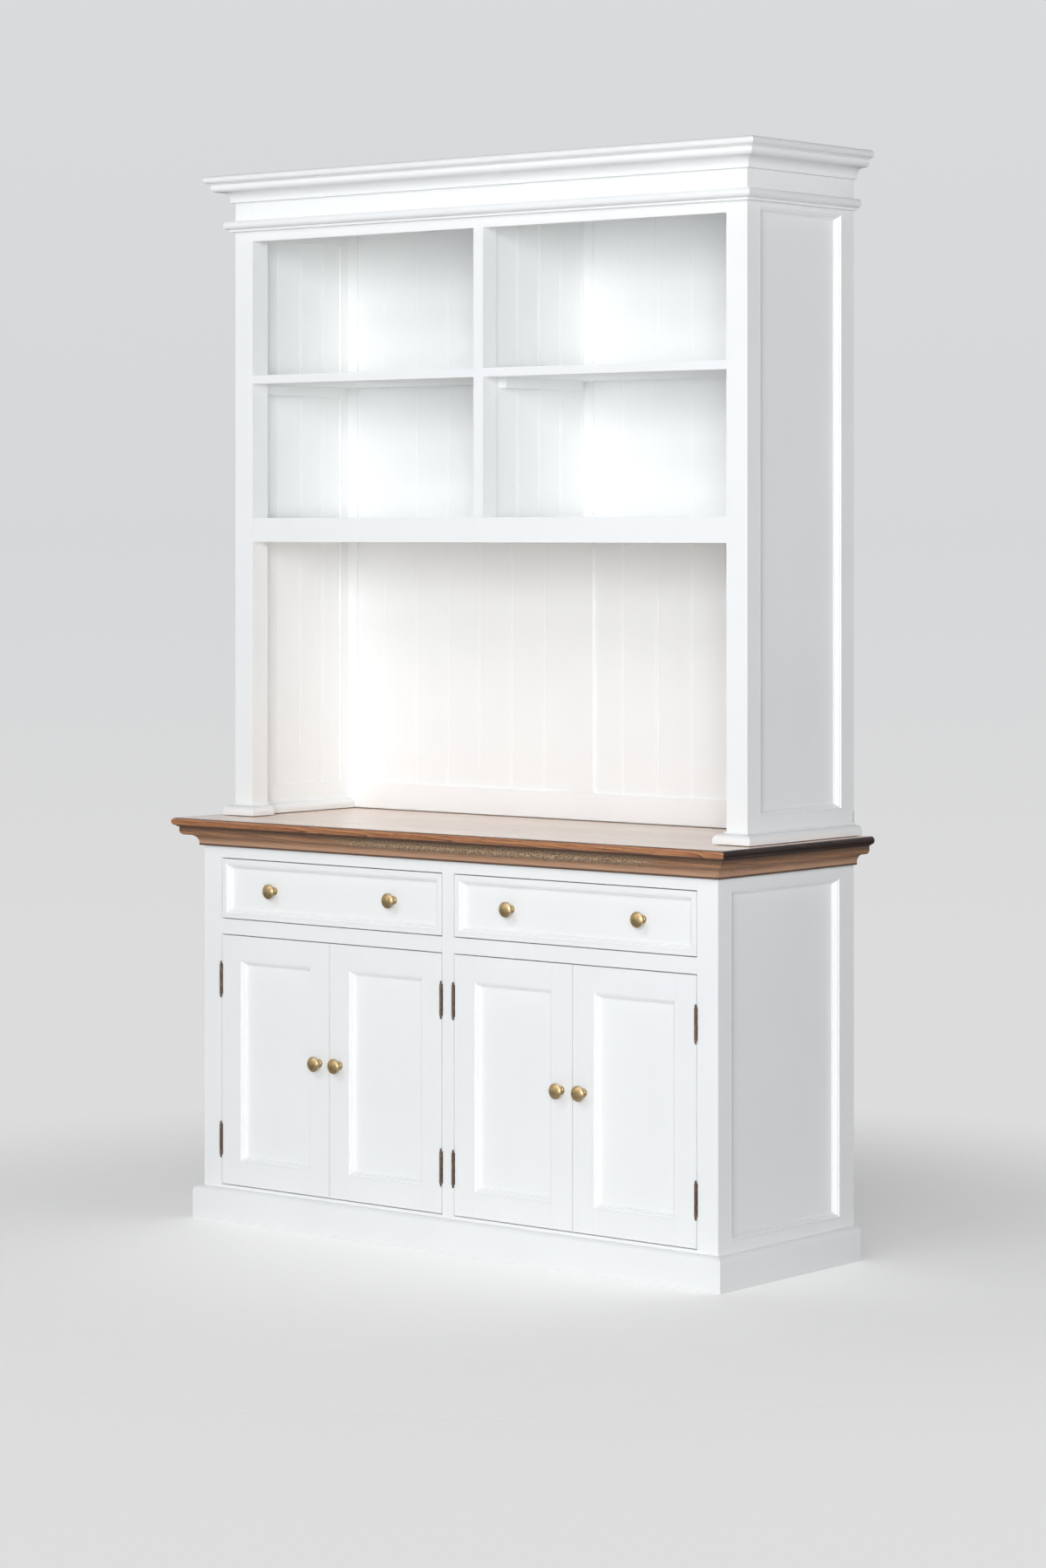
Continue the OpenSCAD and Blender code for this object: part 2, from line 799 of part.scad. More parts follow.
// Runners below the drawer sides, and a kicker above the middle of each drawer
module drawer_runners() {
  bay_x = (centre_w / 2 + post_in_x) / 2;
  color(bare_wood) both_sides() {
    block([post_in_x - runner_w, base_y + post_d, drawer_z - runner_h],
          [side_in_x, base_back_y, drawer_z]);
    block([inner_board_t / 2, base_y + face_t, drawer_z - runner_h],
          [centre_w / 2 + runner_w, base_back_y, drawer_z]);
    block([bay_x - kicker_w / 2, base_y + face_t, top_rail_z],
          [bay_x + kicker_w / 2, base_back_y, top_rail_z + kicker_h]);
  }
}

module plinth_boards() {
  color(paint) three_sides(base_y, base_d, plinth_t, plinth_h) plinth_profile();
}

// A board with a rounded nose at both ends of its section
module board_section(low, high) {
  nose_r = (board_t - nose_fillet_h) / 2;
  translate([low, 0]) square([high - low, board_t]);
  for (end = [low, high]) translate([end, nose_fillet_h + nose_r]) circle(r = nose_r);
}

// A board nosed along its front and sides and square at the back
module nosed_board(front_y) {
  nose_r = (board_t - nose_fillet_h) / 2;
  edge_x = half_w + board_out - nose_r;
  edge_y = front_y - board_out + nose_r;
  intersection() {
    translate([0, rear_y + nose_r + overrun, 0]) rotate([90, 0, 0])
      linear_extrude(rear_y - edge_y + (nose_r + overrun) * 2) board_section(-edge_x, edge_x);
    translate([-edge_x - nose_r - overrun, 0, 0]) rotate([90, 0, 90])
      linear_extrude((edge_x + nose_r + overrun) * 2)
      intersection() {
        board_section(edge_y, rear_y + nose_r);
        translate([edge_y - nose_r - overrun, -overrun])
          square([rear_y - edge_y + nose_r + overrun, board_t + overrun * 2]);
      }
  }
}

module worktop_board() {
  color(worktop_wood) difference() {
    translate([0, 0, base_top_z]) nosed_board(base_y);
    join_cuts(0);
  }
}

module worktop_moulding() {
  color(worktop_wood) translate([0, 0, base_top_z - worktop_moulding_h])
    three_sides(base_y, base_d, cornice_out, worktop_moulding_h)
    cornice_profile(worktop_moulding_h);
}

module hinge_frame_leaves() {
  color(bronze_tone) for (i = [1 : 4]) place_door(i) at_hinges() frame_side_of_hinge()
    hinge_leaf([0, 2, 4]);
}

module hinge_pins() {
  color(bronze_tone) for (i = [1 : 4]) place_door(i) at_hinges() hinge_pin();
}

// Magnetic catches screwed to the back of the middle rails
module door_catches() {
  color(steel_tone) for (i = [1 : 4]) place_door(i)
    translate([door_w - plate_edge - catch_w / 2, face_t, door_h + reveal - catch_h / 2])
    cube([catch_w, catch_t, catch_h]);
}

module hutch_side_frames() {
  color(paint) difference() {
    both_sides() side_frame(hutch_y, hutch_rear_w, worktop_z, hutch_top_z, worktop_z,
                            hutch_open_low, hutch_open_high);
    join_cuts(overrun);
  }
}

// Side boards of the upper case, plain outside and beaded inside
module hutch_side_panels() {
  low = hutch_open_low + panel_room;
  len = side_open_w(hutch_d, hutch_rear_w) - panel_room * 2;
  color(paint) both_sides()
    translate([panel_in_x, hutch_y + post_lap_d + panel_room, low])
    linear_extrude(hutch_open_high - panel_room - low)
    mirror([1, 0]) rotate(90)
    beaded_outline(len, panel_t, side_beads(rebate_w - panel_room, len - rebate_w * 2));
}

module hutch_side_mouldings() {
  color(paint) both_sides() on_right_side(hutch_y, hutch_open_low)
    panel_moulding(side_open_w(hutch_d, hutch_rear_w), hutch_open_high - hutch_open_low);
}

module hutch_front_rails() {
  x = post_in_x - joint_gap;
  color(paint) {
    block([-x, hutch_y, deck_rail_z], [x, hutch_y + face_t, deck_z]);
    both_sides() block([divider_w / 2 + joint_gap, hutch_y, upper_top_z],
                       [x, hutch_y + face_t, hutch_top_z]);
  }
}

// A board in the upper case, cut round the front posts
module notched_board(low, high) {
  difference() {
    block(low, high);
    both_sides() block([post_in_x, hutch_y - overrun, worktop_z],
                       [half_w, hutch_y + post_d, hutch_top_z]);
  }
}

module hutch_deck() {
  color(paint) notched_board([-side_in_x, hutch_y + face_t, deck_z - shelf_t],
                             [side_in_x, back_y, deck_z]);
}

// Divider: a front stile and a board beaded on both faces
module hutch_divider() {
  board_half = divider_w / 2 - bead_recess;
  stile_y = hutch_y + divider_stile_d;
  len = back_y - stile_y - joint_gap;
  first = post_d - divider_stile_d - joint_gap;
  color(paint) {
    block([-divider_w / 2, hutch_y, deck_z], [divider_w / 2, stile_y, hutch_top_z]);
    translate([0, stile_y + joint_gap, deck_z]) linear_extrude(hutch_top_z - deck_z)
      for (side = [0, 1]) mirror([side, 0]) translate([board_half, 0]) rotate(90)
      beaded_outline(len, board_half, side_beads(first, len - first));
  }
}

// Back frame: outer stiles, three rails and middle stiles, stepped behind for the boards
module back_bar(len, w, low, high, lap) {
  rotate([0, 0, 180]) translate([-len / 2, 0, low])
    stepped_bar(len, w - low - high, low, high, lap, back_frame_t - back_lip_t, back_frame_t);
}

module back_frame_members() {
  top_rail_z = hutch_top_z - back_top_rail_h;
  low_rail_z = worktop_z + back_low_rail_h;
  rail_len = (back_open_x + back_lip_w - joint_gap) * 2;
  translate([0, rear_y, 0]) {
    both_sides() translate([side_in_x, 0, (worktop_z + hutch_top_z) / 2]) rotate([0, -90, 0])
      back_bar(hutch_top_z - worktop_z, back_stile_w, 0, back_lip_w, 0);
    for (rail = [[worktop_z, low_rail_z, 0, back_lip_w],
                 [deck_rail_z, deck_z, back_lip_w, back_lip_w],
                 [top_rail_z, hutch_top_z, back_lip_w, 0]])
      translate([0, 0, rail[0]])
        back_bar(rail_len, rail[1] - rail[0], rail[2], rail[3], back_lip_w);
    for (gap = [[low_rail_z, deck_rail_z], [deck_z, top_rail_z]])
      translate([back_muntin_w / 2, 0, (gap[0] + gap[1]) / 2]) rotate([0, -90, 0])
        back_bar(gap[1] - gap[0] + (back_lip_w - joint_gap) * 2, back_muntin_w,
                 back_lip_w, back_lip_w, back_lip_w);
  }
}

module hutch_back_frame() {
  color(paint) difference() {
    back_frame_members();
    block([-side_in_x - overrun, back_y - overrun, worktop_z - overrun],
          [side_in_x + overrun, back_y + back_gap_d, worktop_z + back_gap_h]);
  }
}

module hutch_back_panels() {
  room = back_lip_w - panel_room;
  open_w = back_open_x - back_muntin_w / 2;
  count = floor(open_w / back_bead_pitch);
  len = open_w + room * 2;
  beads = [for (b = [0 : count - 1]) len / 2 + (b - (count - 1) / 2) * back_bead_pitch];
  color(paint) both_sides()
    for (gap = [[worktop_z + back_low_rail_h, deck_rail_z],
                [deck_z, hutch_top_z - back_top_rail_h]])
      translate([back_muntin_w / 2 - room, back_y + back_lip_t, gap[0] - room])
      linear_extrude(gap[1] - gap[0] + room * 2) beaded_outline(len, panel_t, beads);
}

module hutch_shelves() {
  color(paint) both_sides()
    notched_board([divider_w / 2, hutch_y, shelf_z], [side_in_x, back_y, shelf_z + shelf_t]);
}

// Side view of a cleat, with its lower rear corner rounded
module cleat_outline(len) {
  square([len - cleat_corner_r, cleat_h]);
  translate([0, cleat_corner_r]) square([len, cleat_h - cleat_corner_r]);
  translate([len - cleat_corner_r, cleat_corner_r]) circle(r = cleat_corner_r);
}

module hutch_shelf_cleats() {
  start_y = hutch_y + post_d + cleat_start;
  len = rear_y - hutch_rear_w - joint_gap - start_y;
  color(paint) both_sides()
    for (x = [divider_w / 2 - bead_recess, panel_in_x - cleat_t])
      translate([x, start_y, shelf_z - cleat_h]) rotate([90, 0, 90])
      linear_extrude(cleat_t) cleat_outline(len);
}

// Foot moulding round the outside, front and inside of each side frame
module hutch_foot_moulding() {
  color(paint) translate([0, 0, worktop_z]) both_sides() {
    translate([half_w, hutch_y, 0]) rotate([0, 0, 90])
      face_stick(hutch_d, foot_out, foot_h, 1, 0) foot_profile();
    translate([post_in_x, hutch_y, 0])
      face_stick(post_w, foot_out, foot_h, 1, 1) foot_profile();
    translate([post_in_x, hutch_y + post_d, 0]) rotate([0, 0, -90])
      face_stick(post_d, foot_out, foot_h, 0, 1) foot_profile();
    translate([side_in_x, back_y, 0]) rotate([0, 0, -90])
      face_stick(back_y - hutch_y - post_d, foot_out, foot_h, 0, 0) foot_profile();
  }
}

module astragal_moulding() {
  color(paint) translate([0, 0, astragal_z])
    three_sides(hutch_y, hutch_d, astragal_out, astragal_h) astragal_profile();
}

module crown_moulding() {
  color(paint) translate([0, 0, crown_z])
    three_sides(hutch_y, hutch_d, cornice_out, crown_h) cornice_profile(crown_h);
}

module crown_board() {
  color(paint) translate([0, 0, hutch_top_z]) nosed_board(hutch_y);
}

module door_1_frame() { door_frame(1); }
module door_1_moulding() { door_moulding(1); }
module door_1_panel() { door_panel(1); }
module door_1_knob() { door_knob(1); }
module door_1_hardware() { door_hardware(1); }
module door_2_frame() { door_frame(2); }
module door_2_moulding() { door_moulding(2); }
module door_2_panel() { door_panel(2); }
module door_2_knob() { door_knob(2); }
module door_2_hardware() { door_hardware(2); }
module door_3_frame() { door_frame(3); }
module door_3_moulding() { door_moulding(3); }
module door_3_panel() { door_panel(3); }
module door_3_knob() { door_knob(3); }
module door_3_hardware() { door_hardware(3); }
module door_4_frame() { door_frame(4); }
module door_4_moulding() { door_moulding(4); }
module door_4_panel() { door_panel(4); }
module door_4_knob() { door_knob(4); }
module door_4_hardware() { door_hardware(4); }
module drawer_left_front() { drawer_front(-1); }
module drawer_left_moulding() { drawer_moulding(-1); }
module drawer_left_box() { drawer_box(-1); }
module drawer_left_knobs() { drawer_knobs(-1); }
module drawer_right_front() { drawer_front(1); }
module drawer_right_moulding() { drawer_moulding(1); }
module drawer_right_box() { drawer_box(1); }
module drawer_right_knobs() { drawer_knobs(1); }

base_side_frames();
base_face_frame();
base_side_panels();
base_side_mouldings();
base_back_panel();
base_partition();
base_floor();
base_shelves();
base_shelf_cleats();
drawer_runners();
plinth_boards();
worktop_board();
worktop_moulding();
hinge_frame_leaves();
hinge_pins();
door_catches();
hutch_side_frames();
hutch_side_panels();
hutch_side_mouldings();
hutch_front_rails();
hutch_deck();
hutch_divider();
hutch_back_frame();
hutch_back_panels();
hutch_shelves();
hutch_shelf_cleats();
hutch_foot_moulding();
astragal_moulding();
crown_moulding();
crown_board();
joining_plates();
door_1_frame();
door_1_moulding();
door_1_panel();
door_1_knob();
door_1_hardware();
door_2_frame();
door_2_moulding();
door_2_panel();
door_2_knob();
door_2_hardware();
door_3_frame();
door_3_moulding();
door_3_panel();
door_3_knob();
door_3_hardware();
door_4_frame();
door_4_moulding();
door_4_panel();
door_4_knob();
door_4_hardware();
drawer_left_front();
drawer_left_moulding();
drawer_left_box();
drawer_left_knobs();
drawer_right_front();
drawer_right_moulding();
drawer_right_box();
drawer_right_knobs();
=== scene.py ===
import json
import math
import random

import bmesh
import bpy
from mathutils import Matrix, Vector

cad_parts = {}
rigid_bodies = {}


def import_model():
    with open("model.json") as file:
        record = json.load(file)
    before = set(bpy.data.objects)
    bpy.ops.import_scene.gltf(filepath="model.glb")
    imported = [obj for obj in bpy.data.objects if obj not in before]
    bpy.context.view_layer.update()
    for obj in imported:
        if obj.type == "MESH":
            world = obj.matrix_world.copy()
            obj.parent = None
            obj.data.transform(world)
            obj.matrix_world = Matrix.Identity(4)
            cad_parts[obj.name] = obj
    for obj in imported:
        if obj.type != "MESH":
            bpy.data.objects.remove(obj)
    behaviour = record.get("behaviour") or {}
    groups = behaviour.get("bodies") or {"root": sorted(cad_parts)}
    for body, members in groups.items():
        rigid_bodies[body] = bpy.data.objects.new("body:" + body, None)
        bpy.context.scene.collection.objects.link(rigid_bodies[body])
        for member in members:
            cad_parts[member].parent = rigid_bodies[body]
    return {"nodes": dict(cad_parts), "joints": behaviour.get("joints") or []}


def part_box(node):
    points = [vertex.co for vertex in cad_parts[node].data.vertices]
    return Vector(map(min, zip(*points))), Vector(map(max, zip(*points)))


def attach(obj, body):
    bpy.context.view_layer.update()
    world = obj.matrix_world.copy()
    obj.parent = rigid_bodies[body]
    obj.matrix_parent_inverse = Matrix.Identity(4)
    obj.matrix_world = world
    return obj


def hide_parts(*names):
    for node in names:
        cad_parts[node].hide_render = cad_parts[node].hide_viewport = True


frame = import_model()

# Kitchen hutch in white satin paint with an oiled hardwood worktop, brass knobs and bronze
# hinges. Metres, with X to the right, Y to the back and Z up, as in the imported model.

MM = 0.001
scene = bpy.context.scene
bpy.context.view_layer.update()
draw = random.Random(17)

# Faces and levels of the two carcasses
base_low, base_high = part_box("base_side_frames")
hutch_low, hutch_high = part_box("hutch_side_frames")
half_w = base_high.x
rear_y = base_high.y
base_y = base_low.y
hutch_y = hutch_low.y
base_top = base_high.z
worktop_top = hutch_low.z
hutch_top = hutch_high.z
post_w = 50 * MM
post_d = 47 * MM
post_in = half_w - post_w

# Fine gap at the mitres, and the rounding of sanded and painted edges
MITRE_GAP = 0.2 * MM
PAINT_EDGE = 0.7 * MM
FINE_EDGE = 0.35 * MM
SHARP_ANGLE = math.radians(32)

RIGHT = Vector((1, 0, 0))
BACK = Vector((0, 1, 0))
UP = Vector((0, 0, 1))


# Finishes

def linear(hex_colour):
    """The linear colour of an sRGB hex value, for a shader's socket."""
    parts = [int(hex_colour[i:i + 2], 16) / 255 for i in (1, 3, 5)]
    return [p / 12.92 if p <= 0.04045 else ((p + 0.055) / 1.055) ** 2.4 for p in parts] + [1.0]


def add(tree, kind, settings=(), links=()):
    """Adds a node. Settings are properties or input values, links join inputs to outputs."""
    node = tree.nodes.new(kind)
    for key, value in dict(settings).items():
        if isinstance(key, str) and hasattr(node, key):
            setattr(node, key, value)
        else:
            node.inputs[key].default_value = value
    for key, source in dict(links).items():
        tree.links.new(source, node.inputs[key])
    return node


def put(tree, socket, value):
    """Gives a socket a link, a number or a hex colour."""
    if isinstance(value, bpy.types.NodeSocket):
        tree.links.new(value, socket)
    else:
        socket.default_value = linear(value) if isinstance(value, str) else value


def sums(tree, operation, *values):
    """Works on grey values, each a link or a number."""
    node = add(tree, "ShaderNodeMath", {"operation": operation})
    for place, value in enumerate(values):
        put(tree, node.inputs[place], value)
    return node.outputs["Value"]


def between(tree, value, low, high, start=0.0, end=1.0, kind="LINEAR"):
    """Turns the grey values from start to end into those from low to high."""
    return add(tree, "ShaderNodeMapRange", {"interpolation_type": kind, "From Min": start,
               "From Max": end, "To Min": low, "To Max": high},
               {"Value": value}).outputs["Result"]


def rise(tree, value, start, end):
    """Goes softly from 0 to 1 between two values."""
    return between(tree, value, 0.0, 1.0, start, end, "SMOOTHSTEP")


def blend(tree, share, under, over):
    """Lays one colour over another by a share of it."""
    node = add(tree, "ShaderNodeMix", {"data_type": "RGBA"}, {"A": under})
    put(tree, node.inputs["Factor"], share)
    put(tree, node.inputs["B"], over)
    return node.outputs["Result"]


def ramp(tree, source, stops):
    """A colour ramp with (place, hex) stops on a grey value."""
    node = add(tree, "ShaderNodeValToRGB", links={"Fac": source})
    bar = node.color_ramp
    while len(bar.elements) < len(stops):
        bar.elements.new(0.5)
    for element, (place, colour) in zip(bar.elements, stops):
        element.position = place
        element.color = linear(colour)
    return node.outputs["Color"]


def noise(tree, coords, spot_mm, detail, roughness=0.5):
    """Noise whose spots measure the given millimetres along X, Y and Z."""
    scale = [1 / (s * MM) for s in spot_mm]
    spots = add(tree, "ShaderNodeMapping", {"Scale": scale}, {"Vector": coords})
    return add(tree, "ShaderNodeTexNoise", {"Scale": 1, "Detail": detail,
               "Roughness": roughness}, {"Vector": spots.outputs["Vector"]})


def new_finish(name):
    material = bpy.data.materials.new(name)
    material.use_nodes = True
    tree = material.node_tree
    shader = tree.nodes["Principled BSDF"]
    return material, tree, shader


def dress(tree, shader, colour, roughness, relief, strength, depth_mm):
    """Joins a finish's colour, roughness and relief to its shader."""
    bump = add(tree, "ShaderNodeBump", {"Strength": strength, "Distance": depth_mm * MM},
               {"Height": relief})
    tree.links.new(colour, shader.inputs["Base Color"])
    tree.links.new(roughness, shader.inputs["Roughness"])
    tree.links.new(bump.outputs["Normal"], shader.inputs["Normal"])


def satin_paint(name, stroke_mm):
    """Water-based satin enamel on planed timber: an even, nearly neutral white with a soft
    sheen, faint brush strokes along each member and a fine orange peel."""
    material, tree, shader = new_finish(name)
    coords = add(tree, "ShaderNodeTexCoord").outputs["Object"]
    strokes = noise(tree, coords, stroke_mm, 3, 0.6).outputs["Fac"]
    # Orange peel is under 1 mm wide on the real paint and is drawn at 3 mm so that it shows
    peel = noise(tree, coords, (3, 3, 3), 2).outputs["Fac"]
    cloud = noise(tree, coords, (240, 240, 240), 3).outputs["Fac"]
    tone = ramp(tree, cloud, [(0.3, "#f6f7f6"), (0.7, "#f9faf8")])
    dress(tree, shader, tone, between(tree, strokes, 0.34, 0.46),
          sums(tree, "MULTIPLY_ADD", strokes, 0.45, peel), 0.16, 0.05)
    shader.inputs["IOR"].default_value = 1.5
    return material


CORNICE_MM = 40


def moulding_wear_and_painted_light(tree, surface):
    """What use left on the worktop's moulding: wax worn to a cream and dark speckle along the
    front of its round, and upright saw ticks on the right side; and a hollow painted paler,
    to make up for the shade that falls in it as it faces partly down."""
    place = add(tree, "ShaderNodeTexCoord").outputs["Object"]
    drift = noise(tree, place, (90, 90, 14), 2).outputs["Color"]
    # The drift of up to 160 mm along and 8 mm up averages half of that, so levels are
    # counted from 4 mm below the moulding's foot
    loose = add(tree, "ShaderNodeVectorMath", {"operation": "MULTIPLY_ADD",
                1: (-0.16, 0, -0.008)}, {0: drift, 2: place})
    parts = add(tree, "ShaderNodeSeparateXYZ", links={0: loose.outputs["Vector"]})
    along, height = parts.outputs["X"], parts.outputs["Z"]
    foot = base_top - (CORNICE_MM + 4) * MM
    on_round = rise(tree, height, foot + 14 * MM, foot + 20 * MM)
    in_hollow = rise(tree, height, foot + 20 * MM, foot + 8 * MM)
    left_half = rise(tree, along, -0.44, -0.26)
    right_half = rise(tree, along, 0.50, 0.38)
    worn = sums(tree, "MULTIPLY", on_round, sums(tree, "MULTIPLY", left_half, right_half))
    # The specks are 1 to 2 mm on the real one and are drawn at 3 mm so that they show
    spots = noise(tree, place, (3.4, 3.4, 2.2), 2).outputs["Fac"]
    mottle = ramp(tree, spots, [(0.36, "#4c3d34"), (0.45, "#85694f"), (0.54, "#b2926f"),
                                (0.66, "#d2b997")])
    # Painted light: the hollow is made paler, to make up for the shade it gets facing partly
    # down
    hollow_painted_light = blend(tree, sums(tree, "MULTIPLY", in_hollow, 0.6), surface, "#d3ab8e")
    speckled = blend(tree, worn, hollow_painted_light, mottle)
    ticks = rise(tree, noise(tree, place, (9, 1.6, 5), 2).outputs["Fac"], 0.5, 0.64)
    on_side = rise(tree, along, 0.58, 0.6)
    sawn = sums(tree, "MULTIPLY", ticks, on_side)
    return blend(tree, sums(tree, "MULTIPLY", sawn, 0.3), speckled, "#5b4434")


def timber(name, tones, pore, along, ring_mm=13, runout_mm=190, grain_mm=2.2, length_mm=90,
           late=0.75, rough=0.4, wax_and_shade="#3a2a20", worn_and_painted_marks=None, coords_from="Object",
           coat=0.0, ior=1.5):
    """Sawn and sanded hardwood: yearly rings with a thin dark line of late wood that runs out
    along the board, fine grain drawn out lengthwise, short dark pores, a tone of its own for
    each board, and a dark overlay. The overlay is dark wax along edges and glue lines and,
    under the worktop's nose, painted shade as well. The board attribute and the overlay's
    share come from the mesh."""
    material, tree, shader = new_finish(name)
    raw = add(tree, "ShaderNodeTexCoord").outputs[coords_from]
    board = add(tree, "ShaderNodeAttribute", {"attribute_name": "board"}).outputs["Fac"]
    wax_and_shade_share = add(tree, "ShaderNodeAttribute", {"attribute_name": "wax_and_shade"}).outputs["Fac"]
    apart = add(tree, "ShaderNodeVectorMath", {"operation": "SCALE", 0: (3.1, 1.7, 2.3)},
                {"Scale": board}).outputs["Vector"]
    coords = add(tree, "ShaderNodeVectorMath", {"operation": "ADD"},
                 {0: raw, 1: apart}).outputs["Vector"]

    def spread(across, lengthwise):
        return [lengthwise if axis == along else across for axis in range(3)]

    bend = noise(tree, coords, spread(60, 380), 2).outputs["Color"]
    bent = add(tree, "ShaderNodeVectorMath", {"operation": "MULTIPLY_ADD",
               1: spread(0.03, 0.0)}, {0: bend, 2: coords}).outputs["Vector"]
    sheets = add(tree, "ShaderNodeVectorMath", {"operation": "DOT_PRODUCT",
                 1: [1 / (s * MM) for s in spread(ring_mm, runout_mm)]}, {0: bent})
    year = sums(tree, "FRACT", sheets.outputs["Value"])
    grain = noise(tree, bent, spread(grain_mm, length_mm), 5, 0.7).outputs["Fac"]
    pores = noise(tree, coords, spread(1.4, 16), 2).outputs["Fac"]
    dark, middle, light = tones
    streaks = ramp(tree, grain, [(0.34, dark), (0.5, middle), (0.66, light)])
    season = ramp(tree, year, [(0.0, light), (0.5, middle), (0.95, dark)])
    colour = blend(tree, 0.45, streaks, season)
    # The late wood is a line under 0.5 mm wide and is drawn at about 1 mm so that it shows
    line = ramp(tree, year, [(0.84, "#000000"), (0.92, "#ffffff"), (0.97, "#000000")])
    ringed = blend(tree, sums(tree, "MULTIPLY", line, late), colour, pore)
    own = add(tree, "ShaderNodeTexWhiteNoise", {"noise_dimensions": "1D"}, {"W": board})
    gain = between(tree, own.outputs["Value"], 0.92, 1.08)
    toned = add(tree, "ShaderNodeHueSaturation",
                links={"Value": gain, "Color": ringed}).outputs["Color"]
    surface = blend(tree, between(tree, pores, 0.0, 0.75, 0.6, 0.72), toned, pore)
    if worn_and_painted_marks:
        surface = worn_and_painted_marks(tree, surface)
    # The dark overlay: wax, and under the worktop's nose painted shade as well
    final = blend(tree, sums(tree, "MULTIPLY", wax_and_shade_share, 0.9), surface, wax_and_shade)
    dress(tree, shader, final, between(tree, grain, rough - 0.07, rough + 0.09),
          grain, 0.35, 0.12)
    shader.inputs["IOR"].default_value = ior
    shader.inputs["Coat Weight"].default_value = coat
    shader.inputs["Coat Roughness"].default_value = 0.2
    return material


def worked_metal(name, tones, rough, line_mm, strength=0.1, tarnish=None):
    """Metal worked in one direction: fine lines from the tool, soft cloudy tarnish and a
    satin highlight."""
    material, tree, shader = new_finish(name)
    coords = add(tree, "ShaderNodeTexCoord").outputs["Object"]
    lines = noise(tree, coords, line_mm, 3, 0.7).outputs["Fac"]
    cloud = noise(tree, coords, (7, 7, 7), 4).outputs["Fac"]
    colour = ramp(tree, cloud, [(0.35, tones[0]), (0.65, tones[1])])
    if tarnish:
        colour = blend(tree, between(tree, lines, 0.0, 1.0, 0.5, 0.68), colour, tarnish)
    dress(tree, shader, colour, between(tree, lines, rough - 0.06, rough + 0.08),
          lines, strength, 0.05)
    shader.inputs["Metallic"].default_value = 1.0
    return material


paint_upright = satin_paint("satin_enamel_upright", (1.6, 1.6, 70))
paint_level = satin_paint("satin_enamel_level", (70, 1.6, 1.6))
paint_deep = satin_paint("satin_enamel_deep", (1.6, 70, 1.6))

# The top's tones are paler than the nose's, partly painted sheen: they stand in for the oil's
# sheen at a low angle over a mid brown
oiled_top = timber("oiled_mahogany", ("#c89a7c", "#dfb999", "#ebccb0"), "#9c7660", 0,
                   rough=0.4, coat=1.0)
oiled_nose = timber("oiled_mahogany_nose", ("#784729", "#a86c43", "#c79265"), "#3a2115", 0,
                    ring_mm=8, rough=0.42, coat=0.25)
dark_nose = timber("dark_waxed_nose", ("#110b09", "#21150f", "#4a3126"), "#0c0807", 1,
                   ring_mm=6, grain_mm=1.6, length_mm=70, rough=0.42, ior=1.33)
oiled_run = timber("oiled_mahogany_moulding", ("#80593f", "#a47757", "#b98c66"), "#54402f", 0,
                   ring_mm=11, late=0.5, rough=0.5, worn_and_painted_marks=moulding_wear_and_painted_light, coords_from="UV")
BIRCH = ("#cdb389", "#dcc59c", "#e6d3ae")
birch_y = timber("planed_birch", BIRCH, "#b3966a", 1, ring_mm=18, late=0.3, rough=0.5,
                 wax_and_shade="#b99a6d")
turned_brass = worked_metal("turned_satin_brass", ("#b0966a", "#c8b086"), 0.36, (9, 0.4, 9))
antique_bronze = worked_metal("antique_bronze", ("#4f4035", "#6a5546"), 0.42, (2.5, 2.5, 7),
                              0.5, "#94796a")
zinc_steel = worked_metal("zinc_plated_steel", ("#8b9095", "#a5a9ac"), 0.36, (0.6, 0.6, 12))


# Drawing shapes

def arc(x, z, radius, start, end, steps=12):
    """Points on part of a circle, with the angles in degrees."""
    turns = [math.radians(start + (end - start) * i / steps) for i in range(steps + 1)]
    return [(x + radius * math.cos(t), z + radius * math.sin(t)) for t in turns]


def scaled(points):
    return [(a * MM, b * MM) for a, b in points]


def new_bmesh():
    bm = bmesh.new()
    bm.loops.layers.uv.new("run")
    bm.verts.layers.float.new("board")
    bm.verts.layers.float.new("wax_and_shade")
    return bm


def length_of(bm, profile, start, along, out, up, length, mitres=(0, 0), wax_and_shade_levels=(),
              gap=MITRE_GAP):
    """One straight length of a profile. A mitre is 1 round an outside corner, -1 round an
    inside one and 0 for a square end. The dark levels, from 0 to 1, give at each point of the
    profile the dark wax and, under the worktop's nose, painted shade."""
    board = bm.verts.layers.float["board"]
    wax_and_shade = bm.verts.layers.float["wax_and_shade"]
    run = bm.loops.layers.uv["run"]
    number = draw.uniform(0.0, 9.0)
    wax_and_shade_levels = list(wax_and_shade_levels) or [0.0] * len(profile)
    rings = []
    for reach, sign, mitre in ((0.0, 1, mitres[0]), (length, -1, mitres[1])):
        ring = []
        for (a, b), dark in zip(profile, wax_and_shade_levels):
            shift = sign * (gap / 2 * abs(mitre) - mitre * a)
            vert = bm.verts.new(start + along * (reach + shift) + out * a + up * b)
            vert[board] = number
            vert[wax_and_shade] = dark
            ring.append(vert)
        rings.append(ring)
    count = len(profile)
    travelled = [0.0]
    for i in range(count):
        here, there = Vector(profile[i]), Vector(profile[(i + 1) % count])
        travelled.append(travelled[-1] + (there - here).length)
    bm.faces.new(rings[0])
    bm.faces.new(list(reversed(rings[1])))
    for i in range(count):
        j = (i + 1) % count
        face = bm.faces.new((rings[0][i], rings[0][j], rings[1][j], rings[1][i]))
        for loop, v in zip(face.loops, (travelled[i], travelled[i + 1],
                                        travelled[i + 1], travelled[i])):
            loop[run].uv = ((loop.vert.co - start).dot(along), v)


